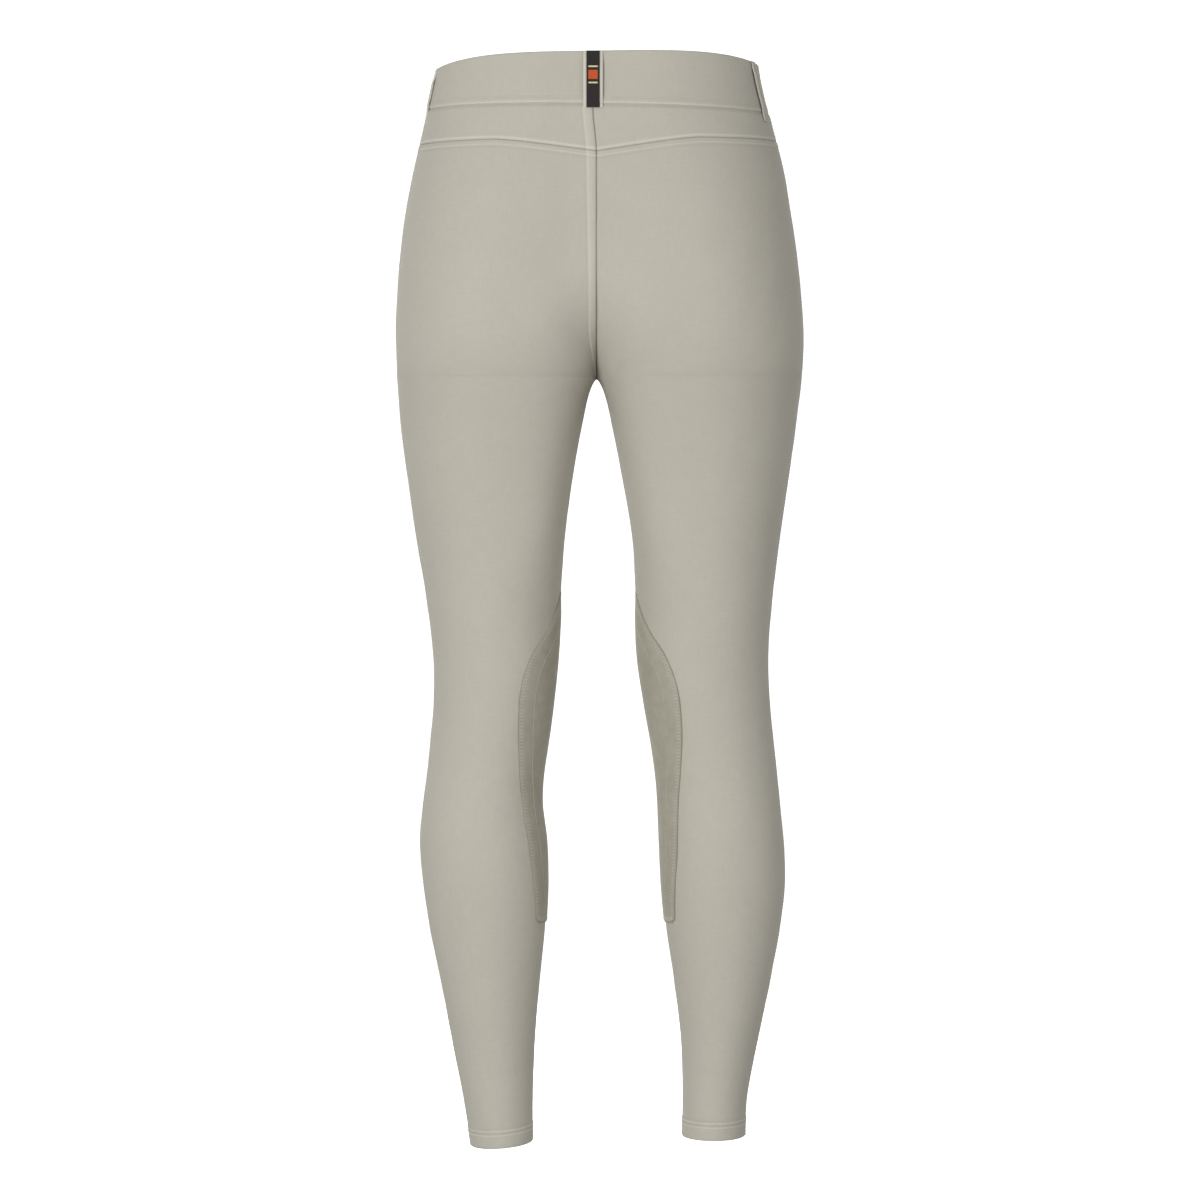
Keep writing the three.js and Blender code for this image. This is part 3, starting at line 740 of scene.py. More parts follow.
def thread_material(name, tone, shade):
    nodes = Nodes(name, 0.62, sheen=0.2, sheen_tint=colour(230, 226, 214))
    where = nodes.add("ShaderNodeNewGeometry").outputs["Position"]
    nodes.colour(nodes.mix(nodes.ramp(nodes.noise(where, 1800, 2), 0.35, 0.65), shade, tone))
    return nodes.material


def button_material():
    nodes = Nodes("button", 0.38)
    where = nodes.add("ShaderNodeNewGeometry").outputs["Position"]
    swirl = nodes.noise(where, 160, 5, 0.6)
    nodes.colour(nodes.mix(nodes.ramp(swirl, 0.35, 0.65), colour(150, 144, 128), colour(178, 172, 156)))
    nodes.bump(nodes.noise(where, 700, 2), 0.08, 0.0001)
    return nodes.material


BASE, SHADE, LIGHT = colour(192, 188, 176), colour(158, 154, 141), colour(195, 191, 179)
stretch_cloth = cloth_material("stretch_cloth", BASE, SHADE, LIGHT)
suede = suede_material()
tape_look = tape_material()
thread = thread_material("thread", colour(226, 223, 212), colour(200, 196, 184))
patch_thread = thread_material("patch_thread", colour(206, 202, 189), colour(182, 178, 164))
button_look = button_material()

# Threads: each run of stitches is a row of small rounded bars that dip into the cloth at both ends
threads = {}
STITCH_SIDES = 6
# Rings along a stitch: how far along, how high and how wide, in shares of its length and radius
STITCH_RINGS = (
    (0.0, -1.1, 0.45), (0.14, 0.05, 0.95), (0.5, 0.35, 1.0), (0.86, 0.05, 0.95), (1.0, -1.1, 0.45),
)


def resample(points, normals, pitch):
    arc = np.concatenate([[0], np.cumsum(np.linalg.norm(np.diff(points, axis=0), axis=1))])
    count = max(2, int(arc[-1] / pitch))
    at = (np.arange(count) + 0.5) * arc[-1] / count
    p = np.stack([np.interp(at, arc, points[:, k]) for k in range(3)], -1)
    n = np.stack([np.interp(at, arc, normals[:, k]) for k in range(3)], -1)
    ahead = np.stack([np.interp(at + 0.6, arc, points[:, k]) for k in range(3)], -1)
    behind = np.stack([np.interp(at - 0.6, arc, points[:, k]) for k in range(3)], -1)
    return p, unit(n), unit(ahead - behind)


def bar(group, a, b, out, radius):
    """A rounded bar of thread from a to b, sunk at both ends."""
    points, faces = threads.setdefault(group, ([], []))
    first = len(points)
    along = b - a
    across = np.cross(out, along)
    across = across / max(np.linalg.norm(across), 1e-9)
    for t, high, wide in STITCH_RINGS:
        centre = a + along * t + out * radius * high
        for k in range(STITCH_SIDES):
            turn = 2 * math.pi * k / STITCH_SIDES
            points.append(centre + radius * wide * (across * math.cos(turn) + out * math.sin(turn)))
    last = len(points) - STITCH_SIDES
    for low in range(first, last, STITCH_SIDES):
        for k in range(STITCH_SIDES):
            n = (k + 1) % STITCH_SIDES
            faces.append((low + n, low + k, low + STITCH_SIDES + k, low + STITCH_SIDES + n))
    faces.append(tuple(range(first, first + STITCH_SIDES)))
    faces.append(tuple(reversed(range(last, last + STITCH_SIDES))))


def stitches(group, line, pitch=3.1, share=0.8, radius=0.25, lift=0.2):
    points, normals = line
    if len(points) < 2:
        return
    p, n, t = resample(points, normals, pitch)
    for centre, out, along in zip(p, n, t):
        half = along * pitch * share / 2
        bar(group, centre - half + out * lift, centre + half + out * lift, out, radius)


def zigzag(group, line, pitch, width, radius=0.2, lift=0.16):
    points, normals = line
    p, n, t = resample(points, normals, pitch)
    side = np.cross(n, t) * width / 2
    sign = np.where(np.arange(len(p)) % 2, 1, -1)[:, None]
    corner = p + side * sign + n * lift
    for a, b, out in zip(corner[:-1], corner[1:], n[:-1]):
        bar(group, a, b, out, radius)


def ladder(group, line, pitch, width, radius, lift):
    """Bars of thread straight across a line."""
    p, n, t = resample(*line, pitch)
    side = np.cross(n, t) * width / 2
    for centre, half, out in zip(p, side, n):
        bar(group, centre - half + out * lift, centre + half + out * lift, out, radius)


def make_threads():
    for group, (points, faces) in threads.items():
        on_patch = group.startswith("knee_patch")
        piece = mesh_object(group, points, faces, patch_thread if on_patch else thread)


# Leg panels and yokes
HALVES = (("L", "left"), ("R", "right"))
BACK_FELL = {"L": True, "R": False}
HEM_LINES = (12.0, 16.0)
YOKE_LINE = 5.1
BAND_LINE = 5.4
SIDE_LINE = 5.6
FELL_STITCH = 1.4
grids = {}


def fell_width(z):
    """The felled centre back seam narrows below the waist, and widens where it turns in to the fork."""
    return lerp(lerp(9.6, 7.4, smooth((-30 - z) / 170)), 10.5, smooth((-195 - z) / 75))


def centre_seam(grid, raised):
    away = grid.from_start
    width = fell_width(grid.z)
    above = smooth((grid.z - FORK_Z + 4) / 8)
    height = edge_roll(away)
    if raised:
        height = height * (1 - 0.55 * above) + above * felled(away, width, 0.42)
        height += above * groove(away, width - FELL_STITCH, 0.14)
        height += above * pucker(grid.z, away, width - 1.2, 0.1, 2.2)
    else:
        height += above * groove(away, FELL_STITCH, 0.12)
    return height


def centre_seam_painted_light(grid, raised):
    away = grid.from_start
    above = smooth((grid.z - FORK_Z + 4) / 8)
    # Painted shade in the seam; on a felled fold, a painted highlight on its stitched edge and plateau and
    # painted shade just past it
    tone = -0.8 * line_at(away, 0, 0.8)
    if raised:
        width = fell_width(grid.z)
        tone += 0.4 * line_at(away, width - 1.2, 1.1)
        tone += 0.2 * smooth((away - 2) / 3) * (1 - smooth((away - width + 1) / 1.2))
        tone -= 0.15 * line_at(away, width + 1.1, 0.9)
    return above * tone


def side_seam(away, along, seed):
    fold = 0.22 * felled(away, 6.4, 1.0) + groove(away, SIDE_LINE, 0.12)
    return edge_roll(away) + fold + pucker(along, away, 5, 0.05, 3, seed=seed)


def hem_relief(grid):
    u = grid.from_start
    up = grid.from_foot
    ripple = 0.45 * uneven(u, 0, 1.4, 2) * line_at(up, 7, 7)
    fold = 0.45 * (1 - smooth((up - 17.2) / 1.4)) - 0.5 * line_at(up, 0, 0.7)
    lines = sum(groove(up, at, 0.16, 0.6) for at in HEM_LINES)
    return ripple + fold + lines + pucker(u, up, 14, 0.12, 3.5, 5.2, 1.0)


# Fly: two rows of topstitching on the left front that curve in to the centre front
FLY_WIDTH, FLY_FOOT, FLY_TURN = 34.0, -185.0, 40.0
FLY_ROWS = (0.0, 5.5)
FLY_COLUMNS = np.concatenate([EDGE_END, np.arange(12.6, 37, 0.9)])


def fly_reach(z, inset):
    turn = np.maximum(FLY_FOOT + FLY_TURN - z, 0) / (FLY_TURN - inset)
    return (FLY_WIDTH - inset) * np.sqrt(np.clip(1 - turn**2, 0, 1))


def fly_lines(grid):
    """1 on the fly's rows of stitches and 0 away from them."""
    total = 0
    for inset in FLY_ROWS:
        reach = fly_reach(grid.z, inset)
        slope = FLY_WIDTH / FLY_TURN * np.clip((FLY_FOOT + FLY_TURN - grid.z) / FLY_TURN, 0, 1) * 2
        away = (grid.from_end - reach) / np.sqrt(1 + slope**2)
        total = total + line_at(away, 0, 0.8) * (grid.z > FLY_FOOT + inset)
    return total


def front_seam_painted_shade(grid):
    # Painted shade along the seam, and on the left front along the fly's rows of stitches
    tone = -0.8 * line_at(grid.from_end, 0, 0.8) * smooth((grid.z - FORK_Z + 4) / 8)
    if grid.side == "L":
        tone -= 0.5 * fly_lines(grid)
    return tone


def hem_painted_light(grid):
    up = grid.from_foot
    # A painted highlight on each hem stitch line, and painted shade just above it
    return sum(0.4 * line_at(up, at, 0.7) - 0.3 * line_at(up, at + 1.8, 0.8) for at in HEM_LINES)


def panel_shell(name, grid, height, tone):
    grid.lift(height)
    inner = place(grid.side, grid.share, grid.z, np.minimum(height * 0.5, 0) - CLOTH)
    grids[name] = grid
    u, v = grid.from_start, grid.z
    piece = shell(name + "_cloth", grid.side, grid.outer, inner, u, v, stretch_cloth, "cloth", tone)
    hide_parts(name)
    return piece


def leg_panel(name, side, first, last, top, is_back):
    has_fly = side == "L" and not is_back
    grid = Grid(side, first, last, leg_rows(top), end=FLY_COLUMNS if has_fly else None)
    u, v = grid.from_start, grid.z
    seed = 1.0 if side == "L" else 4.0
    height = 0.28 * uneven(u, v, 1.0, seed) + 0.1 * uneven(u, v, 0.3, seed + 2)
    height *= smooth(grid.from_top / 30) * smooth(grid.from_foot / 30)
    height += creases(side, grid.base)
    tone = hem_painted_light(grid)
    if is_back:
        tone += centre_seam_painted_light(grid, BACK_FELL[side])
        # Painted light at the back's seams: painted highlights on the side and yoke stitch lines, painted
        # shade in the side seam, below the yoke stitching and in the yoke seam
        tone += 0.2 * line_at(grid.from_end, SIDE_LINE, 0.9) - 0.3 * line_at(grid.from_end, 0, 0.9)
        tone += 0.25 * line_at(grid.from_top, YOKE_LINE, 0.9)
        tone -= 0.2 * line_at(grid.from_top, YOKE_LINE + 2, 0.9)
        tone -= 0.4 * line_at(grid.from_top, 0.3, 0.8)
        height += centre_seam(grid, BACK_FELL[side])
        height += side_seam(grid.from_end, v, seed)
        height += edge_roll(grid.from_top) * 1.1 + felled(grid.from_top, YOKE_LINE + 1.0, 0.22)
        height += groove(grid.from_top, YOKE_LINE, 0.14)
        height += pucker(u, grid.from_top, YOKE_LINE, 0.12, seed=seed)
    else:
        height += edge_roll(grid.from_end) + edge_roll(grid.from_start)
        height += edge_roll(grid.from_top)
        # Painted shade along the front's seams and just under the waistband seam
        tone += front_seam_painted_shade(grid) - 0.3 * line_at(grid.from_top, 2.4, 1.2)
        if has_fly:
            height -= 0.2 * fly_lines(grid)
    return panel_shell(name, grid, height + hem_relief(grid), tone)


def yoke_panel(name, side):
    flat = np.linspace(0, 1, 9)[1:-1]
    rows = [lambda s, sh, d=d: band_seam(s, sh) - d for d in FINE[:14]]
    rows += [lambda s, sh, t=t: lerp(band_seam(s, sh) - 9, yoke_seam(s, sh) + 5, t) for t in flat]
    rows += [lambda s, sh, d=d: yoke_seam(s, sh) + d for d in (5, 4, 3, 2.2, 1.5, 0.9, 0.4, 0)]
    grid = Grid(side, 0, 0.5, rows)
    u = grid.from_start
    seed = 2.0 if side == "L" else 6.0
    height = 0.2 * uneven(u, grid.z, 0.8, seed) * smooth(grid.from_top / 8) * smooth(grid.from_foot / 8)
    height += centre_seam(grid, BACK_FELL[side]) + side_seam(grid.from_end, grid.z, seed)
    height += 1.2 * edge_roll(grid.from_top / 1.8) + 0.5 * edge_roll(grid.from_foot)
    height += pucker(u, grid.from_foot, 1.5, 0.14, 3.5, 5.6, seed)
    # Painted light: painted shade in the seams, a painted highlight on the side stitch line and on the yoke's
    # lower folded edge, and painted shade under the waistband's edge
    tone = centre_seam_painted_light(grid, BACK_FELL[side]) + 0.2 * line_at(grid.from_end, SIDE_LINE, 0.9)
    tone += 0.7 * line_at(grid.from_foot, 1.9, 0.9) - 0.35 * line_at(grid.from_top, 2.2, 1.3)
    return panel_shell(name, grid, height, tone)


for half, word in HALVES:
    yoke_panel("yoke_" + word, half)
    leg_panel("back_" + word, half, 0, 0.5, yoke_seam, True)
    leg_panel("front_" + word, half, 0.5, 1, band_seam, False)


# Waistband: each half's rows, joined across the centre back, and lapped at the centre front
BAND_UP = np.array([0, 0.4, 1.0, 1.8, 2.8, 4.0, 5.5])


def band_rows():
    rows = [lambda s, sh, d=d: band_top(s, sh) - d for d in BAND_UP]
    middle = np.linspace(0, 1, 12)[1:-1]
    rows += [lambda s, sh, t=t: lerp(band_top(s, sh) - BAND_UP[-1], band_seam(s, sh) + 9, t) for t in middle]
    rows += [lambda s, sh, d=d: band_seam(s, sh) + d for d in FINE[:14][::-1]]
    return rows


def band_roll(from_top):
    return 0.9 * (1 - smooth(from_top / 1.6)) ** 2


def band_relief(u, from_top, from_foot, seed):
    height = 0.16 * uneven(u, from_top, 0.6, seed) * smooth(from_top / 6) - band_roll(from_top)
    height += 0.5 * edge_roll(from_foot) + 0.12 * line_at(from_foot, 1.8, 1.2)
    height += groove(from_foot, BAND_LINE, 0.1)
    height += pucker(u, from_foot, BAND_LINE, 0.17, 2.4, 4.2, seed)
    return height


def band_painted_light(from_foot):
    # A painted highlight on the band's folded lower edge, and painted shade along its stitch line
    tone = 0.5 * line_at(from_foot, 0.9, 0.9)
    return tone - 0.18 * line_at(from_foot, BAND_LINE, 1.1)


def band_inner(side, share, z, from_top, lift=0.0):
    return place(side, share, z, lift - BAND_CLOTH + band_roll(from_top))


def waistband_back():
    halves = {}
    for side, _ in HALVES:
        grid = Grid(side, 0, 0.5, band_rows(), 46)
        sign = 1 if side == "L" else -1
        height = band_relief(grid.from_start * sign, grid.from_top, grid.from_foot, 3.0)
        height += edge_roll(grid.from_end)
        grid.lift(height)
        inner = band_inner(side, grid.share, grid.z, grid.from_top)
        halves[side] = (grid.outer, inner, grid.from_start * sign, grid.z, band_painted_light(grid.from_foot))
        grids["waistband_back_" + side] = grid
    pairs = zip(halves["R"], halves["L"])
    parts = [np.concatenate([right[:, ::-1], left[:, 1:]], axis=1) for right, left in pairs]
    middle = halves["R"][0].shape[1] - 1
    for points in parts[:2]:
        points[:, middle] = (points[:, middle - 1] + points[:, middle + 1]) / 2
    piece = shell("waistband_back_cloth", "L", *parts[:4], stretch_cloth, "cloth", parts[4])
    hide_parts("waistband_back")
    return piece


LAP_PAST_CENTRE = 30.0
LAP_BLEND = 14.0
LAP_HANG = 2.0


def share_at_front(side, x):
    shares = np.linspace(1, 0.75, 400)
    return float(np.interp(x, surface(side, shares, np.zeros(400))[:, 0], shares))


def waistband_front(name, side):
    """The left piece runs on past the centre front and laps over the right one."""
    grid = Grid(side, 0.5, 1, band_rows(), 46)
    laps = side == "L"
    u = grid.from_start
    lapped = smooth((LAP_BLEND - grid.base[..., 0]) / LAP_BLEND) if laps else 0.0
    raised = (BAND_CLOTH + SEAM_GAP) * lapped
    grid.z = grid.z - LAP_HANG * lapped * smooth(1 - grid.from_foot / 8)
    height = band_relief(u, grid.from_top, grid.from_foot, 5.0) + edge_roll(grid.from_start)
    if not laps:
        height += edge_roll(grid.from_end)
    grid.lift(height + raised)
    inner = band_inner(side, grid.share, grid.z, grid.from_top, raised)
    outer, v, tone = grid.outer, grid.z, band_painted_light(grid.from_foot)
    grids[name] = grid
    if laps:
        far = 1 - share_at_front("R", LAP_PAST_CENTRE)
        across = 1 - np.linspace(0, far, 22)[1:]
        share = np.tile(across, (grid.z.shape[0], 1))
        z = np.array([row("R", across) for row in band_rows()])
        top, foot = z[:1] - z, z - z[-1:]
        z = z - LAP_HANG * smooth(1 - foot / 8)
        past_centre = surface("R", share, z)[..., 0]
        u2 = u[:, -1:] + past_centre
        end = surface("R", np.full_like(z, 1 - far), z)[..., 0] - past_centre
        over = band_relief(u2, top, foot, 5.0) + edge_roll(end) + BAND_CLOTH + SEAM_GAP
        outer = np.concatenate([outer, place("R", share, z, over)], axis=1)
        inner = np.concatenate([inner, band_inner("R", share, z, top, BAND_CLOTH + SEAM_GAP)], axis=1)
        u, v = np.concatenate([u, u2], axis=1), np.concatenate([v, z], axis=1)
        tone = np.concatenate([tone, band_painted_light(foot)], axis=1)
    piece = shell(name + "_cloth", side, outer, inner, u, v, stretch_cloth, "cloth", tone)
    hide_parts(name)
    return piece


waistband_back()
waistband_front("waistband_front_left", "L")
waistband_front("waistband_front_right", "R")


# Knee patches
PATCH_EDGE_STITCH = 3.5
PATCH_INNER_LINE = 17.0
PATCH_COLUMNS = 56
# Runs of rows down a patch: from a level, to a level, and how far apart
PATCH_ROWS = ((-468.3, -480, 0.9), (-480, -500, 1.8), (-500, -760, 2.6), (-760, -772.5, 0.8))
PATCH_TIP, PATCH_STITCH_TOP = -468.0, -482.0


def knee_patch(side, word):
    z = -spread(*(-steps(*run) for run in PATCH_ROWS))
    reach = column(PATCH, "reach", z) / 4
    across = np.linspace(-1, 1, PATCH_COLUMNS)
    across = np.sign(across) * (1 - (1 - np.abs(across)) ** 1.25)
    share = reach[:, None] * across[None, :]
    levels = np.repeat(z[:, None], PATCH_COLUMNS, axis=1)
    base = surface(side, on_ring(share, levels), levels)
    rim = np.concatenate([base[:, 0], base[-1, 1:-1], base[::-1, -1], base[0, 1:-1][::-1]])
    edge = np.array([np.sqrt(((row[:, None] - rim[None]) ** 2).sum(-1)).min(1) for row in base])
    arc = np.cumsum(np.linalg.norm(np.diff(base, axis=1, prepend=base[:, :1]), axis=2), axis=1)
    u = arc - arc[:, [PATCH_COLUMNS // 2]]
    height = SEAM_GAP + PATCH_CLOTH - 0.85 * (1 - smooth(edge / 1.5)) ** 1.5
    height += groove(edge, PATCH_EDGE_STITCH, 0.14, 1.3) + groove(edge, PATCH_INNER_LINE, 0.14, 0.7)
    height += 0.08 * line_at(edge, 7.5, 2) + 0.12 * uneven(u, levels, 0.45, 1.0)
    height += 0.16 * line_at(u, 0, 4.5) * smooth(edge / 8)
    height = lerp(SEAM_GAP, height, smooth((PATCH_TIP - levels) / 26))
    grid = Grid.__new__(Grid)
    grid.side, grid.share, grid.z, grid.base = side, share, levels, base
    grid.lift(height)
    inner = place(side, share, levels, -0.2)
    name = "knee_patch_" + word
    # Painted shade round the patch's edge, and painted highlights on a band just inside it and faintly on the
    # inner stitch line
    tone = 0.18 * line_at(edge, 3.8, 2.0) - 0.8 * line_at(edge, 0, 0.7)
    tone += 0.06 * line_at(edge, PATCH_INNER_LINE, 0.9)
    piece = shell(name + "_suede", side, grid.outer, inner, u, levels, suede, "grip_suede", tone)
    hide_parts(name)
    return piece, grid, edge


def closed_contour(grid, edge, value):
    """The run of points at one distance inside the patch's outline, from its top round its foot."""
    left, left_n = grid.line(edge, value)
    right, right_n = grid.line(edge, value, last=True)
    foot, foot_n = grid.line(edge, value, axis=0, last=True)
    low = foot[:, 2] < min(left[:, 2].min(), right[:, 2].min()) + 3
    foot, foot_n = foot[low], foot_n[low]
    points = np.concatenate([left, foot, right[::-1]])
    normals = np.concatenate([left_n, foot_n, right_n[::-1]])
    keep = points[:, 2] < PATCH_STITCH_TOP
    return points[keep], normals[keep]


for half, word in HALVES:
    patch, patch_grid, patch_edge = knee_patch(half, word)
    group = "knee_patch_stitches_" + word
    ladder(group, closed_contour(patch_grid, patch_edge, PATCH_EDGE_STITCH), 3.1, 4.0, 0.27, 0.12)
    stitches(group, closed_contour(patch_grid, patch_edge, PATCH_INNER_LINE), 2.9, radius=0.2)


# Belt loops
LOOP = "name side share width below sink bow"
LOOPS = [
    dict(zip(LOOP.split(), row))
    for row in (
        ("belt_loop_back", "L", 0, 18, 4.5, 0, 1.8),
        ("belt_loop_side_left", "L", 0.482, 10, 10, 0.8, 1.2),
        ("belt_loop_side_right", "R", 0.45, 10, 9, 0, 1.1),
        ("belt_loop_front_left", "L", 0.7, 10, 9, 0, 1.6),
        ("belt_loop_front_right", "R", 0.7, 10, 9, 0, 1.6),
    )
]
LOOP_CLOTH, LOOP_DROP, LOOP_END, LOOP_STITCH = 1.3, 0.5, 5.0, 2.0
LOOP_TACK = LOOP_END - 1.5
# Columns of a strap from its middle to its edge, in shares of half its width
STRAP_COLUMNS = (0, 0.2, 0.4, 0.6, 0.68, 0.78, 0.88, 0.95, 0.985, 1)
TAPE_WIDTH, TAPE_CLOTH = 12.0, 0.6


def strap(name, node, loop, width, low, thick, material, slot, folded):
    """A strap down the waistband, bowed out between its sewn ends, with rolled edges."""
    side, share = loop["side"], float(loop["share"])
    top = float(band_top(side, np.array(share))) - LOOP_DROP
    foot = float(band_seam(side, np.array(share))) - loop["below"]
    ends_near = np.array([0, 0.3, 0.8])
    z = np.concatenate([top - ends_near, np.linspace(top - 1.6, foot + 1.6, 40), foot + ends_near[::-1]])
    end = np.minimum(top - z, z - foot)
    bow = loop["bow"] * smooth((end - LOOP_END) / (2 * LOOP_END))
    half = np.array(STRAP_COLUMNS)
    x = width / 2 * np.concatenate([-half[:0:-1], half])
    centre, out = place(side, share, z), unit(outward(side, np.full_like(z, share), z))
    along = unit(np.cross(np.array([0.0, 0.0, 1.0]), out))
    edge = width / 2 - np.abs(x)
    roll = -0.42 * thick * (1 - smooth(edge / 0.9))[None, :]
    roll = roll - 0.6 * thick * (1 - smooth(end / 2.0))[:, None]
    if folded:
        roll = roll + groove(edge, LOOP_STITCH, 0.22, 0.5)[None, :]
        roll = roll + groove(end, LOOP_TACK, 0.3, 0.9)[:, None]
    height = low + bow[:, None] + thick + roll
    under = low + bow[:, None] - 0.3 * roll
    # The top edge keeps to the slope of the waistband's, and the foot is level
    way = 0 if share == 0 else (-1 if side == "L" else 1)
    ends = surface(side, share + np.array([-0.01, 0.01]), np.zeros(2))
    per_share = np.linalg.norm(ends[1] - ends[0]) / 0.02
    rise = band_top(side, share + way * x / per_share) - band_top(side, np.array(share))
    climb = np.zeros((len(z), len(x), 3))
    climb[..., 2] = rise[None, :] * smooth((z - foot) / (top - foot))[:, None]
    flat = centre[:, None] + along[:, None] * x[None, :, None] + climb
    outer = flat + out[:, None] * height[..., None]
    inner = flat + out[:, None] * under[..., None]
    u = np.repeat(x[None, :], len(z), axis=0)
    v = np.repeat((top - z)[:, None], len(x), axis=1)
    # On the folded loops, a painted highlight along each rolled edge
    tone = np.broadcast_to(line_at(edge, 1.4, 1.1)[None, :], u.shape) if folded else None
    piece = shell(name, "R", outer, inner, u, v, material, slot, tone)
    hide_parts(node)
    if folded:
        for at in (-1, 1):
            k = int(np.argmin(np.abs(x - at * (width / 2 - LOOP_STITCH))))
            stitches("belt_loop_stitches", (outer[4:-4, k], out[4:-4]), 2.8, radius=0.16)
        for level in (top - LOOP_TACK, foot + LOOP_TACK):
            row = np.argmin(np.abs(z - level))
            line = (outer[row, 2:-2], np.repeat(out[row][None], len(x) - 4, axis=0))
            zigzag("belt_loop_stitches", line, 0.55, 1.6, 0.14)
    return piece


for loop in LOOPS:
    name, low = loop["name"], SEAM_GAP - loop["sink"]
    strap(
        name + "_cloth", name, loop, loop["width"], low, LOOP_CLOTH, stretch_cloth, "cloth", True
    )
low = SEAM_GAP * 2 + LOOP_CLOTH
strap(
    "loop_tape_woven", "loop_tape", LOOPS[0], TAPE_WIDTH, low, TAPE_CLOTH, tape_look, "woven_tape", False
)

# Topstitching
for half, word in HALVES:
    back, front, yoke = grids["back_" + word], grids["front_" + word], grids["yoke_" + word]
    band = grids["waistband_back_" + half]
    stitches("yoke_stitches", back.line(back.from_top, YOKE_LINE, axis=0))
    for part in (band, grids["waistband_front_" + word]):
        stitches("waistband_stitches", part.line(part.from_foot, BAND_LINE, axis=0), radius=0.17)
    for panel in (back, front):
        for up in HEM_LINES:
            stitches("hem_stitches_" + word, panel.line(panel.from_foot, up, axis=0), 2.7)
    for panel in (yoke, back):
        stitches("side_seam_stitches", panel.line(panel.from_end, SIDE_LINE))
    if BACK_FELL[half]:
        for panel in (yoke, back):
            points, normals = panel.line(panel.from_start - fell_width(panel.z) + FELL_STITCH, 0.0)
            keep = points[:, 2] > FORK_Z + 2
            stitches("centre_back_stitches", (points[keep], normals[keep]))

left_front = grids["front_left"]
for inset in FLY_ROWS:
    points, normals = left_front.line(left_front.from_end - fly_reach(left_front.z, inset), 0.0)
    keep = points[:, 2] > FLY_FOOT + inset + 0.5
    stitches("fly_stitches", (points[keep], normals[keep]))

make_threads()


# Button: a turned disc with a rim, four dark discs painted on its face as the shade of its holes, and a cross
# of thread
def lathe(profile, sides):
    points, faces = [], []
    for radius, height in profile:
        for k in range(sides):
            turn = 2 * math.pi * k / sides
            points.append((radius * math.cos(turn), radius * math.sin(turn), height))
    for r in range(len(profile) - 1):
        for k in range(sides):
            n = (k + 1) % sides
            faces.append((r * sides + k, r * sides + n, (r + 1) * sides + n, (r + 1) * sides + k))
    faces.append(tuple(reversed(range(sides))))
    faces.append(tuple((len(profile) - 1) * sides + k for k in range(sides)))
    return np.array(points), faces


BUTTON_PROFILE = (
    (7.6, 0), (8.1, 0.25), (8.45, 0.8), (8.5, 1.5), (8.4, 2.2), (8.05, 2.75), (7.5, 2.98),
    (6.9, 2.92), (6.4, 2.6), (5.9, 2.28), (5.2, 2.12), (4.0, 2.06), (2.0, 2.04),
)
BUTTON_X, BUTTON_HOLE, BUTTON_HOLES_APART = 15.0, 0.9, 1.6
HOLE_PROFILE = ((BUTTON_HOLE, 1.96), (BUTTON_HOLE, 2.09), (BUTTON_HOLE * 0.55, 2.1))


def button():
    share = share_at_front("R", BUTTON_X)
    z = float((band_top("R", np.array(share)) + band_seam("R", np.array(share))) / 2)
    centre = place("R", share, z, BAND_CLOTH + 2 * SEAM_GAP)
    out = outward("R", np.array(share), np.array(z))
    side = unit(np.cross(np.array([0.0, 0.0, 1.0]), out))
    up = np.cross(out, side)
    turn = np.stack([side, up, out], axis=0)
    points, faces = lathe(BUTTON_PROFILE, 56)
    piece = mesh_object("waist_button_disc", points @ turn + centre, faces, button_look)
    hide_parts("waist_button")
    # The holes are not cut: dark discs sit on the face, as painted shade for the holes
    dark = thread_material("button_hole", colour(70, 66, 58), colour(54, 50, 44))
    rings, ring_faces = [], []
    for a in (-1, 1):
        for b in (-1, 1):
            disc, disc_faces = lathe(HOLE_PROFILE, 18)
            shift = np.array([a * BUTTON_HOLES_APART, b * BUTTON_HOLES_APART, 0])
            ring_faces += [tuple(v + len(rings) * len(disc) for v in f) for f in disc_faces]
            rings.append((disc + shift) @ turn + centre)
    hole_shade = mesh_object("waist_button_hole_shade", np.concatenate(rings), ring_faces, dark)
    for a, b in ((1, 1), (1, -1)):
        ends = np.array([[a, b, 0], [-a, -b, 0]]) * BUTTON_HOLES_APART + np.array([0, 0, 2.25])
        for shift in (-0.22, 0.22):
            run = (ends + np.array([shift, -shift * a * b, 0])) @ turn + centre
            bar("button_thread", run[0], run[1], out, 0.3)
    cross = mesh_object("waist_button_thread", *threads["button_thread"], thread)


button()


# Stage: a pale floor that curves up to a wall all round
FLOOR_Z, FLOOR_RADIUS, SWEEP_RADIUS, STAGE_TOP, STAGE_SIDES = -1.03, 9.0, 2.0, 9.0, 96


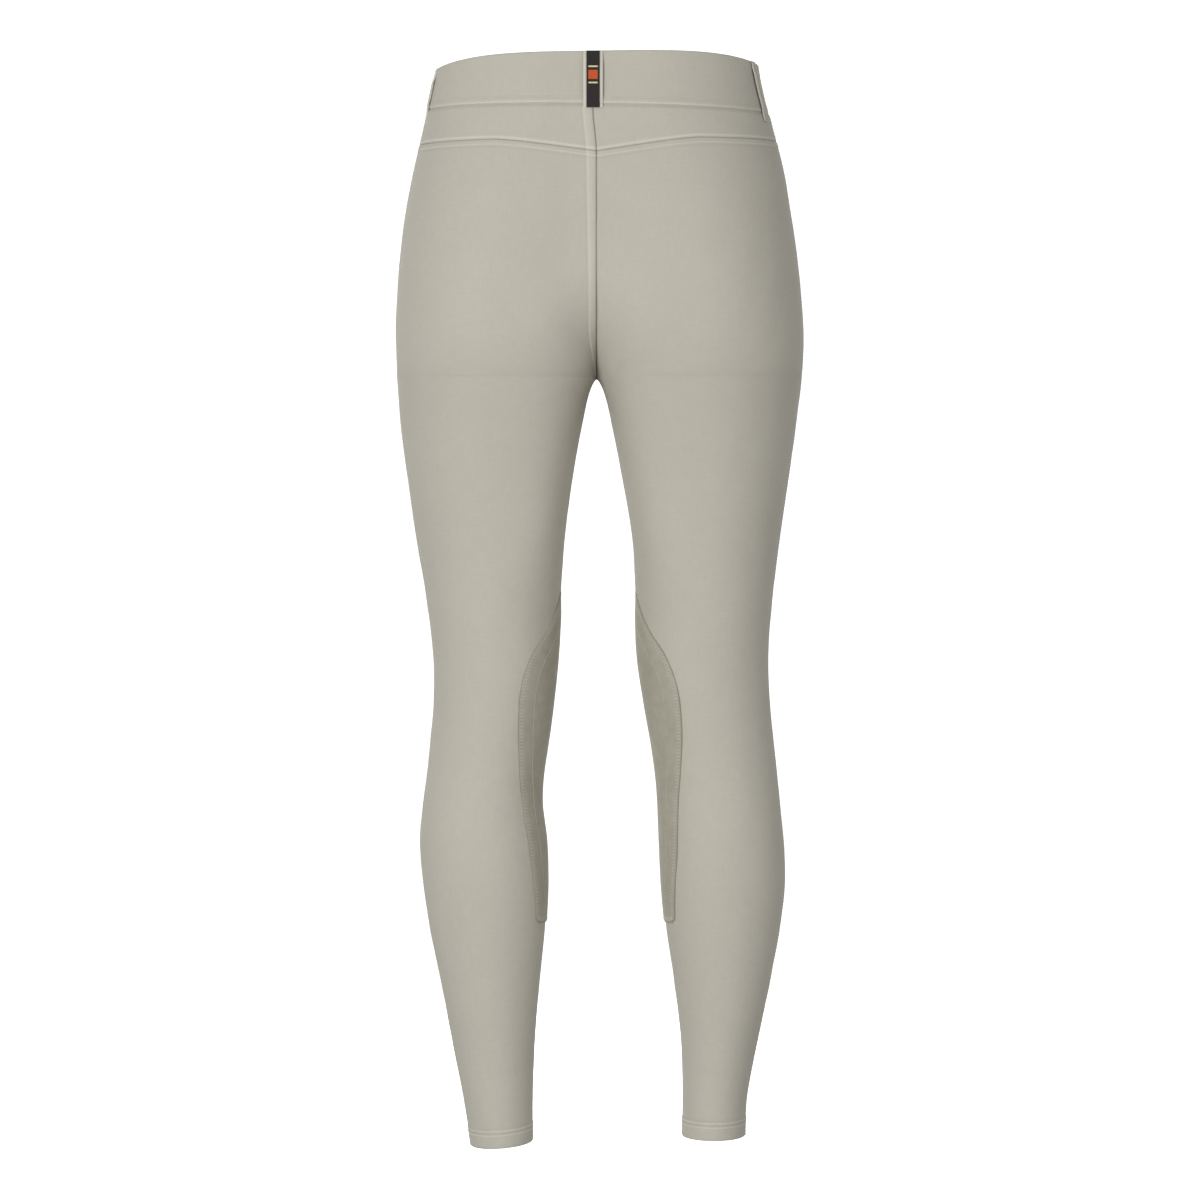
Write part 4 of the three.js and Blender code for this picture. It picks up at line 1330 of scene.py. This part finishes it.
def make_stage():
    profile = [(0.5, FLOOR_Z)]
    for turn in np.linspace(0, math.pi / 2, 17).tolist():
        out, up = SWEEP_RADIUS * math.sin(turn), SWEEP_RADIUS * (1 - math.cos(turn))
        profile.append((FLOOR_RADIUS + out, FLOOR_Z + up))
    profile.append((FLOOR_RADIUS + SWEEP_RADIUS, STAGE_TOP))
    points, faces = [], [tuple(range(STAGE_SIDES))]
    for radius, z in profile:
        for k in range(STAGE_SIDES):
            turn = 2 * math.pi * k / STAGE_SIDES
            points.append((radius * math.cos(turn), radius * math.sin(turn), z))
    for ring in range(len(profile) - 1):
        for k in range(STAGE_SIDES):
            a, b = ring * STAGE_SIDES + k, ring * STAGE_SIDES + (k + 1) % STAGE_SIDES
            faces.append((b, a, a + STAGE_SIDES, b + STAGE_SIDES))
    mesh = bpy.data.meshes.new("stage")
    mesh.from_pydata(points, [], faces)
    mesh.polygons.foreach_set("use_smooth", [True] * len(mesh.polygons))
    nodes = Nodes("stage", 0.9)
    where = nodes.add("ShaderNodeNewGeometry").outputs["Position"]
    nodes.colour(nodes.mix(nodes.noise(where, 1.5, 2), colour(247, 247, 247), colour(251, 251, 251)))
    nodes.shader.inputs["Specular IOR Level"].default_value = 0.0
    nodes.shader.inputs["Emission Color"].default_value = (1, 1, 1, 1)
    nodes.shader.inputs["Emission Strength"].default_value = 0.85
    mesh.materials.append(nodes.material)
    stage = bpy.data.objects.new("stage", mesh)
    bpy.context.scene.collection.objects.link(stage)
    stage.visible_diffuse = False
    stage.visible_glossy = False


LIGHT_SIZE, LIGHT_AIM = 1.6, (0, 0, -0.45)
LIGHTS = (
    ("key", (1.45, 3.3, 0.12), 83),
    ("fill", (-2.9, 2.05, -0.95), 20),
    ("front_key", (1.15, -3.16, 0.02), 44),
    ("front_fill", (-1.16, -3.18, -0.15), 24),
)
WORLD_LIGHT = 0.43


def area_light(name, place_at, power):
    data = bpy.data.lights.new(name, "AREA")
    data.shape = "SQUARE"
    data.size = LIGHT_SIZE
    data.energy = power
    light = bpy.data.objects.new(name, data)
    bpy.context.scene.collection.objects.link(light)
    light.location = place_at
    away = np.array(place_at) - np.array(LIGHT_AIM)
    tilt = math.atan2(math.hypot(away[0], away[1]), away[2])
    light.rotation_euler = (tilt, 0, math.atan2(away[1], away[0]) + math.pi / 2)


def make_light():
    world = bpy.data.worlds.new("studio")
    bpy.context.scene.world = world
    world.use_nodes = True
    sky = world.node_tree.nodes["Background"]
    sky.inputs["Color"].default_value = (1, 1, 1, 1)
    sky.inputs["Strength"].default_value = WORLD_LIGHT
    for light in LIGHTS:
        area_light(*light)
    bpy.context.scene.view_settings.view_transform = "Standard"
    bpy.context.scene.view_settings.look = "None"


make_stage()
make_light()
